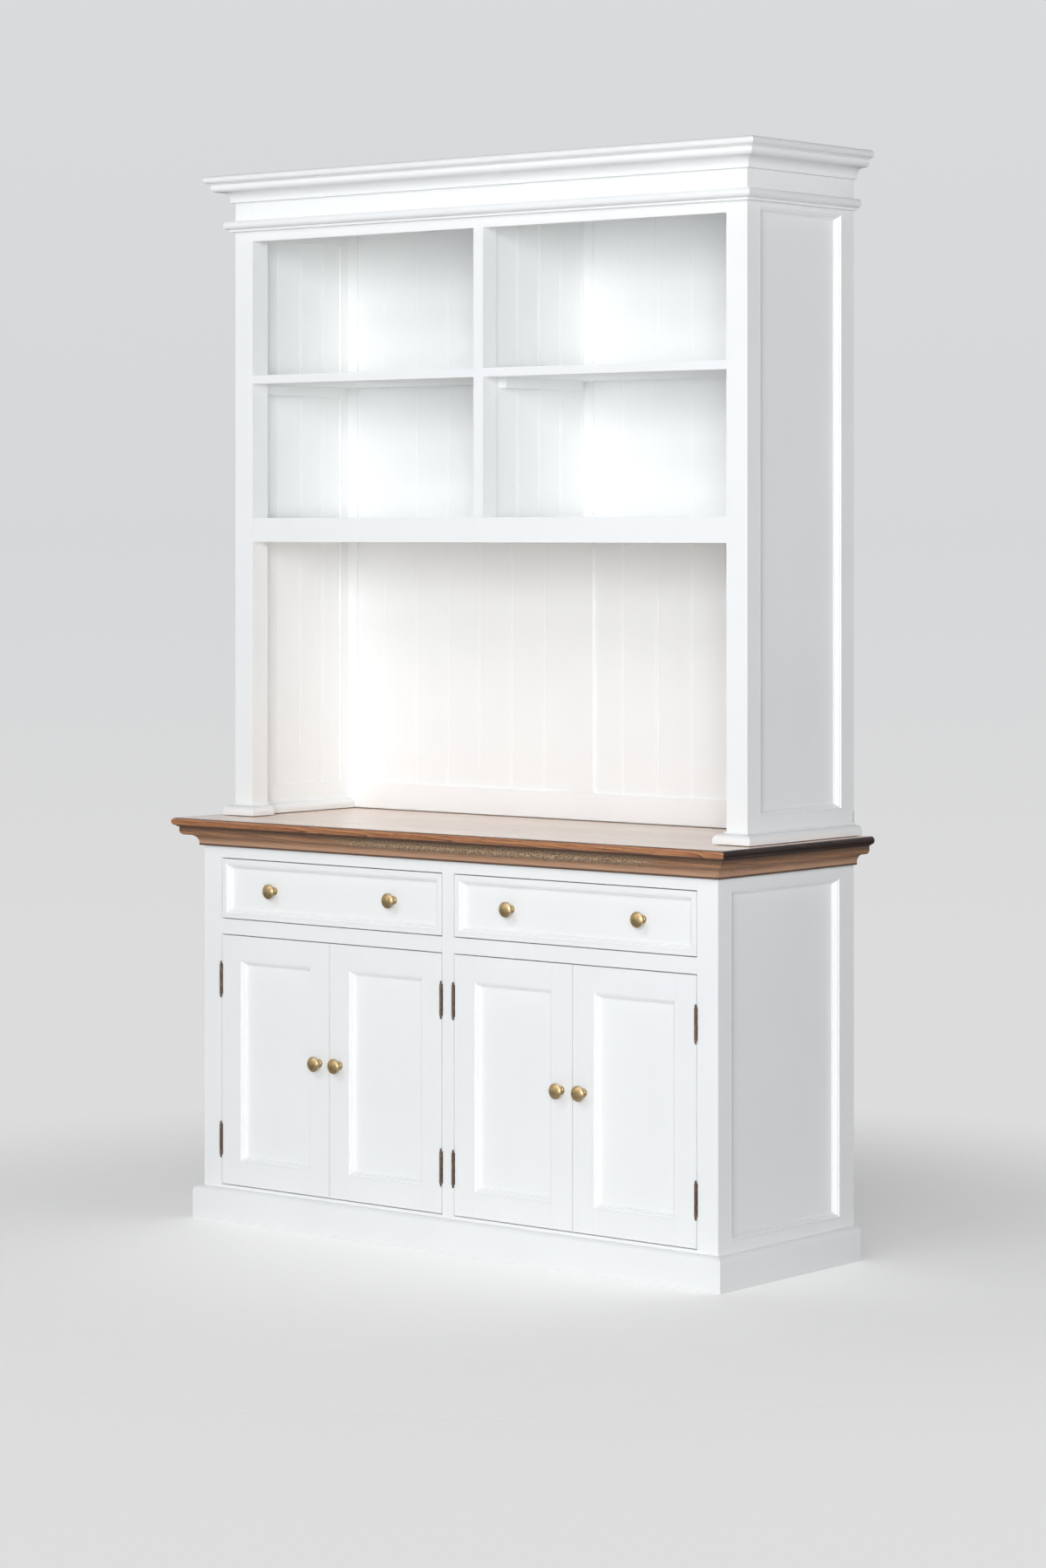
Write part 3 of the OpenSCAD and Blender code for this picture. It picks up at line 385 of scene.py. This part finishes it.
def slab(bm, low, high):
    """A plain plate between two corners, for hinge leaves and catch plates."""
    low, high = Vector(low), Vector(high)
    size = high - low
    section = [(0.0, 0.0), (size.x, 0.0), (size.x, size.z), (0.0, size.z)]
    length_of(bm, section, low, BACK, RIGHT, UP, size.y)


def prism(bm, outline, origin, across, into, up, height):
    """An outline in plan, drawn up to a height."""
    length_of(bm, outline, origin, up, across, into, height)


def turned(bm, profile, centre, axis, side, steps=48, bored=False):
    """A profile of (radius, height) points turned round an axis. A bored one is a ring."""
    third = axis.cross(side)
    rings = []
    for radius, height in profile:
        if radius < 1e-7:
            rings.append([bm.verts.new(centre + axis * height)])
            continue
        angles = [2 * math.pi * k / steps for k in range(steps)]
        rings.append([bm.verts.new(centre + axis * height + side * radius * math.cos(t)
                                   + third * radius * math.sin(t)) for t in angles])
    for lower, upper in zip(rings, rings[1:] + rings[:1] if bored else rings[1:]):
        for k in range(steps):
            n = (k + 1) % steps
            corners = [lower[k % len(lower)], lower[n % len(lower)],
                       upper[n % len(upper)], upper[k % len(upper)]]
            unique = list(dict.fromkeys(corners))
            if len(unique) > 2:
                bm.faces.new(unique)
    for ring in () if bored else (rings[0], rings[-1]):
        if len(ring) > 1:
            bm.faces.new(ring)


def soften(piece, width, angle=38, segments=2):
    """Rounds the arrises of a piece, as sanding and paint leave them."""
    bevel = piece.modifiers.new("arrises", "BEVEL")
    bevel.width = width
    bevel.segments = segments
    bevel.limit_method = "ANGLE"
    bevel.angle_limit = math.radians(angle)
    bevel.use_clamp_overlap = True
    normals = piece.modifiers.new("normals", "WEIGHTED_NORMAL")
    normals.mode = "FACE_AREA_WITH_ANGLE"
    normals.weight = 60


def make_piece(bm, name, body, finishes, edge=FINE_EDGE, instead_of=()):
    """Turns a bmesh into a piece that rides on a body."""
    bmesh.ops.recalc_face_normals(bm, faces=bm.faces)
    mesh = bpy.data.meshes.new(name)
    bm.to_mesh(mesh)
    bm.free()
    for finish in finishes:
        mesh.materials.append(finish)
    mesh.shade_smooth()
    piece = bpy.data.objects.new(name, mesh)
    scene.collection.objects.link(piece)
    if edge:
        soften(piece, edge)
    else:
        mesh.set_sharp_from_angle(angle=SHARP_ANGLE)
    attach(piece, body)
    if instead_of:
        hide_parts(*instead_of)
    return piece


# Profiles in millimetres: first the distance out from the face, then the height

def cornice(height):
    """Fillet, hollow, step and round, as under the worktop and the crown board."""
    return ([(0, 0), (8, 0), (8, 2.3), (8, 2.5)] + arc(25, 5, 17, 180, 90)
            + arc(29, 31, 9, -90, 0, 8) + [(38, 31.6), (38, 32.2), (38, height), (0, height)])


ASTRAGAL = [(0, 0), (9, 0), (9, 5)] + arc(10.5, 14, 9, -90, 90, 20) + [(0, 23)]
PLINTH = [(0, 0), (18, 0)] + arc(6, 56, 12, 0, 90, 14) + [(0, 68)]
# The foot stands clear of the worktop by the thickness of its felt
FOOT = ([(0, 1.2), (20, 1.2)] + arc(8, 9, 12, 0, 90)
        + arc(7, 26, 5, -90, -180, 6) + [(0, 26)])
STICK = ([(0, 0), (0, 12), (2.2, 12), (2.2, 9.6)] + arc(4, 7.4, 2.2, 90, 0, 6)
         + [(6.2, 5.4), (8.4, 5.4)] + arc(10.6, 4, 2.2, 180, 270, 6) + [(12, 1.8), (12, 0)])


def three_sides(bm, profile, front_y, z, wax_and_shade_levels=(), gap=MITRE_GAP):
    """A moulding mitred round the front and both sides of a carcass."""
    depth = rear_y - front_y
    length_of(bm, profile, Vector((-half_w, front_y, z)), RIGHT, -BACK, UP, half_w * 2,
              (1, 1), wax_and_shade_levels, gap)
    length_of(bm, profile, Vector((half_w, front_y, z)), BACK, RIGHT, UP, depth,
              (1, 0), wax_and_shade_levels, gap)
    length_of(bm, profile, Vector((-half_w, rear_y, z)), -BACK, -RIGHT, UP, depth,
              (0, 1), wax_and_shade_levels, gap)


def panel_sticks(bm, corner, across, up, out, width, height):
    """Four mitred sticks round a panel, from its lower left corner on the panel's face."""
    profile = scaled(STICK)
    far = corner + across * width + up * height
    length_of(bm, profile, corner, across, up, out, width, (-1, -1))
    length_of(bm, profile, far, -across, -up, out, width, (-1, -1))
    length_of(bm, profile, corner + up * height, -up, across, out, height, (-1, -1))
    length_of(bm, profile, corner + across * width, up, -across, out, height, (-1, -1))


def nosed_board(bm, front_y, z, thickness_mm=18, out_mm=50, fillet_mm=2):
    """A board with a rounded nose on a small fillet along its front and sides."""
    nose = (thickness_mm - fillet_mm) / 2
    inner = out_mm - nose
    rim = ([(inner - 6, 0), (inner, 0)] + arc(inner, fillet_mm + nose, nose, -90, 90, 16)
           + [(inner - 1.2, thickness_mm), (inner - 6, thickness_mm)])
    rings = []
    for out, height in scaled(rim):
        places = [(-half_w - out, rear_y), (-half_w - out, front_y - out),
                  (half_w + out, front_y - out), (half_w + out, rear_y)]
        rings.append([bm.verts.new((x, y, z + height)) for x, y in places])
    for lower, upper in zip(rings, rings[1:]):
        for k in range(3):
            bm.faces.new((lower[k], lower[k + 1], upper[k + 1], upper[k]))
    bm.faces.new(rings[0])
    bm.faces.new(rings[-1])
    bm.faces.new([r[0] for r in rings] + [r[3] for r in reversed(rings)])


# Crown, frieze bead, foot and plinth

def painted_run(name, profile, front_y, z, node):
    """A painted moulding round three sides."""
    bm = new_bmesh()
    three_sides(bm, scaled(profile), front_y, z)
    make_piece(bm, name, "root", [paint_level], PAINT_EDGE, [node])


painted_run("crown_cornice", cornice(38), hutch_y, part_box("crown_moulding")[0].z,
            "crown_moulding")
painted_run("frieze_bead", ASTRAGAL, hutch_y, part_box("astragal_moulding")[0].z,
            "astragal_moulding")
painted_run("plinth", PLINTH, base_y, 0.0, "plinth_boards")

bm = new_bmesh()
nosed_board(bm, hutch_y, hutch_top)
make_piece(bm, "crown_top_board", "root", [paint_level], PAINT_EDGE,
           ["crown_board"])

# Thickness of the side frames and of the back, which the foot goes round
FRAME_T = 23 * MM
BACK_T = 22 * MM
bm = new_bmesh()
for side in (1, -1):
    across = RIGHT * side
    profile = scaled(FOOT)
    front = Vector((side * half_w, hutch_y, worktop_top))
    length_of(bm, profile, front, BACK, across, UP, rear_y - hutch_y, (1, 0))
    length_of(bm, profile, front, -across, -BACK, UP, post_w, (1, 1))
    inner = Vector((side * post_in, hutch_y, worktop_top))
    length_of(bm, profile, inner, BACK, -across, UP, post_d, (1, 0))
    hidden = Vector((side * (half_w - FRAME_T), hutch_y + post_d, worktop_top))
    length_of(bm, profile, hidden, BACK, -across, UP, rear_y - BACK_T - hutch_y - post_d)
make_piece(bm, "foot_mouldings", "root", [paint_level], PAINT_EDGE,
           ["hutch_foot_moulding"])

# Worktop: staves glued side by side and end to end, with a nose worked round three sides

BOARD_W = 100 * MM
BOARDS = 5
WORKTOP_OUT = 50 * MM
# Dark wax along the nose's upper arris, and under the nose a dark band that is painted shade
# cast by the nose as well as wax: how far out each begins and how high
ARRIS_OUT = 40.8 * MM
ARRIS_H = 1.5 * MM
FILLET_OUT = 30 * MM
FILLET_H = 3 * MM
# Glue lines are hair thin on the real one and are drawn this wide so that they show
GLUE_LINE = 0.9 * MM


def cut_along(bm, faces, point, normal):
    """Cuts faces in two along a plane."""
    edges = {edge for face in faces for edge in face.edges}
    verts = {vert for face in faces for vert in face.verts}
    bmesh.ops.bisect_plane(bm, geom=list(faces) + list(edges) + list(verts), dist=1e-6,
                           plane_co=point, plane_no=normal)


def worktop():
    """Cuts the board into staves, then gives each its tone, the glue lines and the upper arris
    their wax, and the band under the nose its wax and painted shade.
    """
    bm = bmesh.new()
    board = bm.faces.layers.float.new("board")
    wax_and_shade = bm.faces.layers.float.new("wax_and_shade")
    nosed_board(bm, base_y, base_top)
    front = base_y - WORKTOP_OUT
    lines = [front + BOARD_W * k for k in range(1, BOARDS)]
    for line in lines:
        for edge in (-GLUE_LINE / 2, GLUE_LINE / 2):
            cut_along(bm, list(bm.faces), (0, line + edge, 0), BACK)
    ends = {}
    for k in range(BOARDS):
        x = -half_w - WORKTOP_OUT + draw.uniform(200, 420) * MM
        ends[k] = []
        while x < half_w:
            ends[k].append(x)
            x += draw.uniform(420, 640) * MM
        for x in ends[k]:
            for edge in (-GLUE_LINE / 2, GLUE_LINE / 2):
                own = [f for f in bm.faces
                       if 0 < f.calc_center_median().y - front - BOARD_W * k < BOARD_W]
                cut_along(bm, own, (x + edge, 0, 0), RIGHT)
    bm.normal_update()
    tones = {}
    for face in bm.faces:
        at = face.calc_center_median()
        k = min(BOARDS - 1, int((at.y - front) / BOARD_W))
        stave = (k, sum(at.x > x for x in ends[k]))
        face[board] = tones.setdefault(stave, draw.uniform(0, 9))
        glued = min([abs(at.y - line) for line in lines] + [abs(at.x - x) for x in ends[k]])
        out = max(abs(at.x) - half_w, base_y - at.y)
        arris = out > ARRIS_OUT and at.z > worktop_top - ARRIS_H
        fillet = out > FILLET_OUT and at.z < base_top + FILLET_H
        # Under the nose the fillet is darkened partly as painted shade cast by the nose,
        # partly as wax
        face[wax_and_shade] = 0.9 if arris or fillet else 0.6 if glued < GLUE_LINE / 2 else 0.0
        on_top = face.normal.z > 0.99
        face.material_index = 0 if on_top else 1 if abs(face.normal.x) > 0.1 else 2
    make_piece(bm, "worktop_boards", "root",
               [oiled_top, dark_nose, oiled_nose], None, ["worktop_board"])


worktop()

bm = new_bmesh()
under = cornice(CORNICE_MM)
# These mitres have opened a little, as glued ones in a worktop do
OPEN_MITRE = 0.8 * MM
# Dark at the foot, and again from 28 mm up to 35 mm and above; that upper band is painted
# shade under the worktop's nose as well as wax
dark_band = [1.0 if height < 4 else min(1.0, max(0.0, (height - 28) / 7))
             for _, height in under]
three_sides(bm, scaled(under), base_y, base_top - CORNICE_MM * MM, dark_band, OPEN_MITRE)
make_piece(bm, "worktop_cornice", "root", [oiled_run], FINE_EDGE,
           ["worktop_moulding"])

# Panel mouldings of the sides, doors and drawers

STICK_W = 12 * MM


def side_sticks(name, node):
    """The mouldings of both sides of a carcass."""
    low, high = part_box(node)
    bm = new_bmesh()
    for side in (1, -1):
        corner = Vector((side * (half_w - STICK_W), low.y, low.z))
        panel_sticks(bm, corner, BACK, UP, RIGHT * side, high.y - low.y, high.z - low.z)
    make_piece(bm, name, "root", [paint_upright], FINE_EDGE, [node])


side_sticks("base_side_sticks", "base_side_mouldings")
side_sticks("upper_side_sticks", "hutch_side_mouldings")


def front_sticks(name, body, node):
    """The mouldings of a door or a drawer."""
    low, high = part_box(node)
    bm = new_bmesh()
    panel_sticks(bm, Vector((low.x, high.y, low.z)), RIGHT, UP, -BACK,
                 high.x - low.x, high.z - low.z)
    make_piece(bm, name, body, [paint_level], FINE_EDGE, [node])


for number in (1, 2, 3, 4):
    front_sticks(f"door_{number}_sticks", f"door_{number}", f"door_{number}_moulding")
for side in ("left", "right"):
    front_sticks(f"drawer_{side}_sticks", f"drawer_{side}", f"drawer_{side}_moulding")

# Knobs: turned heads on a flange, each held by a slotted screw from behind

KNOB_LEN = 25.5 * MM
KNOB_R = 15.5 * MM
SHANK_R = 2 * MM
SCREW_R = 4.5 * MM
SCREW_H = 2.5 * MM
KNOB = scaled([(0, 0), (8.5, 0), (8.5, 1.0), (8.0, 1.8), (6.6, 2.2), (5.6, 3.0), (5.0, 4.6),
               (4.8, 7.4), (5.0, 9.8), (5.9, 12.2), (7.8, 14.3), (10.4, 16.0), (13.2, 17.3),
               (14.9, 18.3), (15.5, 19.3), (15.5, 20.3), (15.1, 21.0), (14.6, 21.1)]
              + arc(0, -0.9, 26.4, 56.4, 90, 14)[:-1] + [(0, 25.5)])


def slotted_head(bm, centre, out, side, radius, height, slot=0.9 * MM):
    """A screw head with its slot: two half moons on a disc."""
    turned(bm, [(0, 0), (radius, 0), (radius, height / 2), (0, height / 2)], centre, out,
           side, 24)
    reach = math.degrees(math.acos(slot / 2 / radius))
    half_moon = arc(0, 0, radius, -reach, reach, 14)
    for across in (side, -side):
        prism(bm, half_moon, centre + out * height / 2, across, out.cross(across), out,
              height / 2)


def knob(bm, x, z, tip_y, screw_end_y):
    """One knob, its shank through the wood and the screw head behind."""
    face = Vector((x, tip_y + KNOB_LEN, z))
    turned(bm, KNOB, face, -BACK, UP)
    back = screw_end_y - SCREW_H
    shank = back - face.y
    turned(bm, [(0, 0), (SHANK_R, 0), (SHANK_R, shank), (0, shank)], face, BACK, UP, 20)
    slotted_head(bm, Vector((x, back, z)), BACK, (UP + RIGHT).normalized(), SCREW_R, SCREW_H)


for number in (1, 2, 3, 4):
    low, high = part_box(f"door_{number}_knob")
    bm = new_bmesh()
    knob(bm, (low.x + high.x) / 2, (low.z + high.z) / 2, low.y, high.y)
    make_piece(bm, f"door_{number}_turned_knob", f"door_{number}", [turned_brass],
               None, [f"door_{number}_knob"])
for side in ("left", "right"):
    low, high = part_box(f"drawer_{side}_knobs")
    bm = new_bmesh()
    for x in (low.x + KNOB_R, high.x - KNOB_R):
        knob(bm, x, (low.z + high.z) / 2, low.y, high.y)
    make_piece(bm, f"drawer_{side}_turned_knobs", f"drawer_{side}", [turned_brass],
               None, [f"drawer_{side}_knobs"])

# Butt hinges: leaves let in flush, rolled knuckles, and pins with rounded tips

HINGE_H = 64 * MM
LEAF_T = 1.5 * MM
LEAF_W = 18 * MM
REVEAL = 2 * MM
KNUCKLE_R = 2.9 * MM
PIN_R = 1.5 * MM
KNUCKLE_GAP = 0.35 * MM
KNUCKLE_BEVEL = 0.45 * MM
PLATE_W = 24 * MM
PLATE_H = 14 * MM
KNUCKLE_H = (HINGE_H - KNUCKLE_GAP * 4) / 5
KNUCKLE = [(PIN_R, 0), (KNUCKLE_R - KNUCKLE_BEVEL, 0), (KNUCKLE_R, KNUCKLE_BEVEL),
           (KNUCKLE_R, KNUCKLE_H - KNUCKLE_BEVEL), (KNUCKLE_R - KNUCKLE_BEVEL, KNUCKLE_H),
           (PIN_R, KNUCKLE_H)]
PIN_TIP = scaled([(1.5, 0.0), (1.5, 0.6), (2.05, 1.2), (2.1, 2.6), (1.95, 4.2), (1.5, 5.5),
                  (0.8, 6.3), (0, 6.5)])
leaves_low, leaves_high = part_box("hinge_frame_leaves")
HINGE_LEVELS = (leaves_low.z, leaves_high.z - HINGE_H)
hinge_axes = {int(j["name"][5]): Vector(j["pos_m"]) for j in frame["joints"]
              if j["type"] == "hinge"}


def hinge_leaf(bm, axis, into, z, knuckles):
    """One leaf with its knuckles and three countersunk screws. Into points from the hinge
    axis to the wood that the leaf is let in."""
    near = axis.x + into.x * REVEAL / 2
    far = near + into.x * LEAF_T
    low_x, high_x = min(near, far), max(near, far)
    slab(bm, (low_x, base_y, z), (high_x, base_y + LEAF_W, z + HINGE_H))
    for k in knuckles:
        foot = z + k * (KNUCKLE_H + KNUCKLE_GAP)
        turned(bm, KNUCKLE, Vector((axis.x, axis.y, foot)), UP, RIGHT, 28, True)
        slab(bm, (low_x, axis.y, foot), (high_x, base_y, foot + KNUCKLE_H))
    for share, depth in ((0.16, 12), (0.5, 7), (0.84, 12)):
        slotted_head(bm, Vector((near, base_y + depth * MM, z + HINGE_H * share)), -into,
                     (UP + BACK).normalized(), 2.6 * MM, 0.3 * MM, 0.7 * MM)


def into_door(number):
    """The way from a door's hinges to its wood."""
    return RIGHT if number in (1, 3) else -RIGHT


bm = new_bmesh()
for number, axis in hinge_axes.items():
    for z in HINGE_LEVELS:
        hinge_leaf(bm, axis, -into_door(number), z, (0, 2, 4))
make_piece(bm, "frame_hinge_leaves", "root", [antique_bronze], None,
           ["hinge_frame_leaves"])

bm = new_bmesh()
for axis in hinge_axes.values():
    for z in HINGE_LEVELS:
        pin = ([(r, -h) for r, h in reversed(PIN_TIP)]
               + [(r, HINGE_H + h) for r, h in PIN_TIP])
        turned(bm, pin, Vector((axis.x, axis.y, z)), UP, RIGHT, 24)
make_piece(bm, "turned_hinge_pins", "root", [antique_bronze], None,
           ["hinge_pins"])

for number, axis in hinge_axes.items():
    bm = new_bmesh()
    for z in HINGE_LEVELS:
        hinge_leaf(bm, axis, into_door(number), z, (1, 3))
    bronze_faces = len(bm.faces)
    low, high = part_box(f"door_{number}_hardware")
    left = high.x - PLATE_W if number in (1, 3) else low.x
    slab(bm, (left, high.y - LEAF_T, high.z - PLATE_H), (left + PLATE_W, high.y, high.z))
    for share in (0.2, 0.8):
        slotted_head(bm, Vector((left + PLATE_W * share, high.y, high.z - PLATE_H / 2)), BACK,
                     UP, 1.9 * MM, 0.3 * MM, 0.6 * MM)
    bm.faces.ensure_lookup_table()
    for face in bm.faces[bronze_faces:]:
        face.material_index = 1
    make_piece(bm, f"door_{number}_hinge_leaves", f"door_{number}",
               [antique_bronze, zinc_steel], None, [f"door_{number}_hardware"])

# The carcasses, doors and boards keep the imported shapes, with rounded arrises

LEVEL_NODES = ["base_face_frame", "base_floor", "base_shelves", "hutch_front_rails",
               "hutch_deck", "hutch_shelves"]
UPRIGHT_NODES = ["base_side_frames", "base_side_panels", "base_back_panel", "base_partition",
                 "hutch_side_frames", "hutch_side_panels", "hutch_divider",
                 "hutch_back_frame", "hutch_back_panels"]
DEEP_NODES = ["base_shelf_cleats", "hutch_shelf_cleats"]
carried = {name: paint_level for name in LEVEL_NODES}
carried.update({name: paint_upright for name in UPRIGHT_NODES})
carried.update({name: paint_deep for name in DEEP_NODES})
carried["drawer_runners"] = birch_y
carried["door_catches"] = zinc_steel
carried["joining_plates"] = zinc_steel
for number in (1, 2, 3, 4):
    carried[f"door_{number}_frame"] = paint_upright
    carried[f"door_{number}_panel"] = paint_upright
for side in ("left", "right"):
    carried[f"drawer_{side}_front"] = paint_level
    carried[f"drawer_{side}_box"] = birch_y

WELD_REACH = 0.01 * MM
for name, finish in carried.items():
    node = frame["nodes"][name]
    node.data.materials.clear()
    node.data.materials.append(finish)
    weld = node.modifiers.new("weld", "WELD")
    weld.merge_threshold = WELD_REACH
    plain = node.modifiers.new("plain", "DECIMATE")
    plain.decimate_type = "DISSOLVE"
    plain.angle_limit = math.radians(1)
    soften(node, FINE_EDGE)

# Floor, light and camera

bpy.ops.mesh.primitive_circle_add(vertices=96, radius=12, fill_type="NGON")
floor = bpy.context.object
floor.name = "studio_floor"
floor_paint, tree, shader = new_finish("painted_studio_floor")
shader.inputs["Base Color"].default_value = linear("#e4e3e1")
shader.inputs["Roughness"].default_value = 0.9
# For the camera the floor glows a little, as a backdrop lit on its own, and passes over into
# the backdrop with distance, so that no edge shows
GLOW = 0.34
FADE_FROM, FADE_TO = 0.8, 2.2
path = add(tree, "ShaderNodeLightPath").outputs
lift = sums(tree, "MULTIPLY", path["Is Camera Ray"], GLOW)
glow = add(tree, "ShaderNodeEmission", links={"Strength": lift})
lit = add(tree, "ShaderNodeAddShader", links={0: shader.outputs["BSDF"],
          1: glow.outputs["Emission"]})
coords = add(tree, "ShaderNodeTexCoord").outputs["Object"]
away = add(tree, "ShaderNodeVectorMath", {"operation": "LENGTH"}, {0: coords})
gone = sums(tree, "MULTIPLY", rise(tree, away.outputs["Value"], FADE_FROM, FADE_TO),
            path["Is Camera Ray"])
clear = add(tree, "ShaderNodeBsdfTransparent")
mixed = add(tree, "ShaderNodeMixShader", links={0: gone,
            1: lit.outputs["Shader"], 2: clear.outputs["BSDF"]})
tree.links.new(mixed.outputs["Shader"], tree.nodes["Material Output"].inputs["Surface"])
floor.data.materials.append(floor_paint)

world = bpy.data.worlds.new("studio")
scene.world = world
world.use_nodes = True
tree = world.node_tree
for node in list(tree.nodes):
    tree.nodes.remove(node)
# The backdrop is a shade lighter below the horizon, as a floor that sweeps up into a wall
heading = add(tree, "ShaderNodeTexCoord").outputs["Generated"]
slope = add(tree, "ShaderNodeSeparateXYZ", links={0: heading}).outputs["Z"]
level = between(tree, slope, 0.0, 1.0, -0.25, 0.15)
sweep = ramp(tree, level, [(0.0, "#dededf"), (0.38, "#dcdcdc"), (0.62, "#d6d7d9"),
                           (1.0, "#dadbdd")])
path = add(tree, "ShaderNodeLightPath").outputs
direct = sums(tree, "MAXIMUM", path["Is Camera Ray"], path["Is Glossy Ray"])
seen = sums(tree, "MAXIMUM", direct, path["Is Transmission Ray"])
backdrop = add(tree, "ShaderNodeBackground", {"Strength": 1}, {"Color": sweep})
ambient = add(tree, "ShaderNodeBackground", {"Color": linear("#f6f8fc"), "Strength": 0.02})
blend = add(tree, "ShaderNodeMixShader", links={0: seen,
            1: ambient.outputs["Background"], 2: backdrop.outputs["Background"]})
add(tree, "ShaderNodeOutputWorld", links={"Surface": blend.outputs["Shader"]})


def softbox(name, place, size, power, only=None):
    """A square lamp aimed at the hutch's middle."""
    light = bpy.data.lights.new(name, "AREA")
    light.shape = "SQUARE"
    light.size = size
    light.energy = power
    light.color = linear("#f9fbff")[:3]
    lamp = bpy.data.objects.new(name, light)
    lamp.location = place
    heading = HUTCH_MIDDLE - Vector(place)
    lamp.rotation_euler = heading.to_track_quat("-Z", "Y").to_euler()
    scene.collection.objects.link(lamp)
    if only:
        lamp.light_linking.receiver_collection = only
        lamp.visible_camera = False
        lamp.visible_glossy = False


HUTCH_MIDDLE = Vector((0, 0, 1.2))
# Name, place and width in metres, power in watts
SOFTBOXES = [("front_right_softbox", (8.37, -13.5, 2.9), 7, 1505),
             ("low_right_softbox", (6.36, -6.46, 2.2), 4, 142),
             ("high_softbox", (0.62, -7.07, 6.74), 3, 150),
             ("left_softbox", (-3.5, -6.16, 4.2), 3, 45),
             ("side_softbox", (4.98, 0.34, 2.0), 3, 14)]
for lamp in SOFTBOXES:
    softbox(*lamp)
# The back's own lamp lights the hutch and not the floor, so the shadow stays
hutch_alone = bpy.data.collections.new("hutch_alone")
for piece in scene.objects:
    if piece.type == "MESH" and piece != floor:
        hutch_alone.objects.link(piece)
softbox("back_softbox", (-3.4, 6.2, 2.6), 4, 160, hutch_alone)

# The camera stands level at eye height and takes the lower part of its view, as a shift
# lens does, so the uprights stay parallel. Sizes in rows of the picture.
PICTURE_H = 1799
FOCAL_LENGTH = 4697.6
MIDDLE_ROW = 591.7
camera_data = bpy.data.cameras.new("camera")
camera_data.sensor_width = 36.0
camera_data.lens = FOCAL_LENGTH / PICTURE_H * camera_data.sensor_width
camera_data.shift_y = (MIDDLE_ROW - PICTURE_H / 2) / PICTURE_H
camera = bpy.data.objects.new("camera", camera_data)
camera.location = (5.33403, -6.44766, 1.44434)
camera.rotation_euler = (math.radians(90.226), 0.0, math.radians(39.44))
scene.collection.objects.link(camera)
scene.camera = camera

scene.view_settings.view_transform = "Standard"
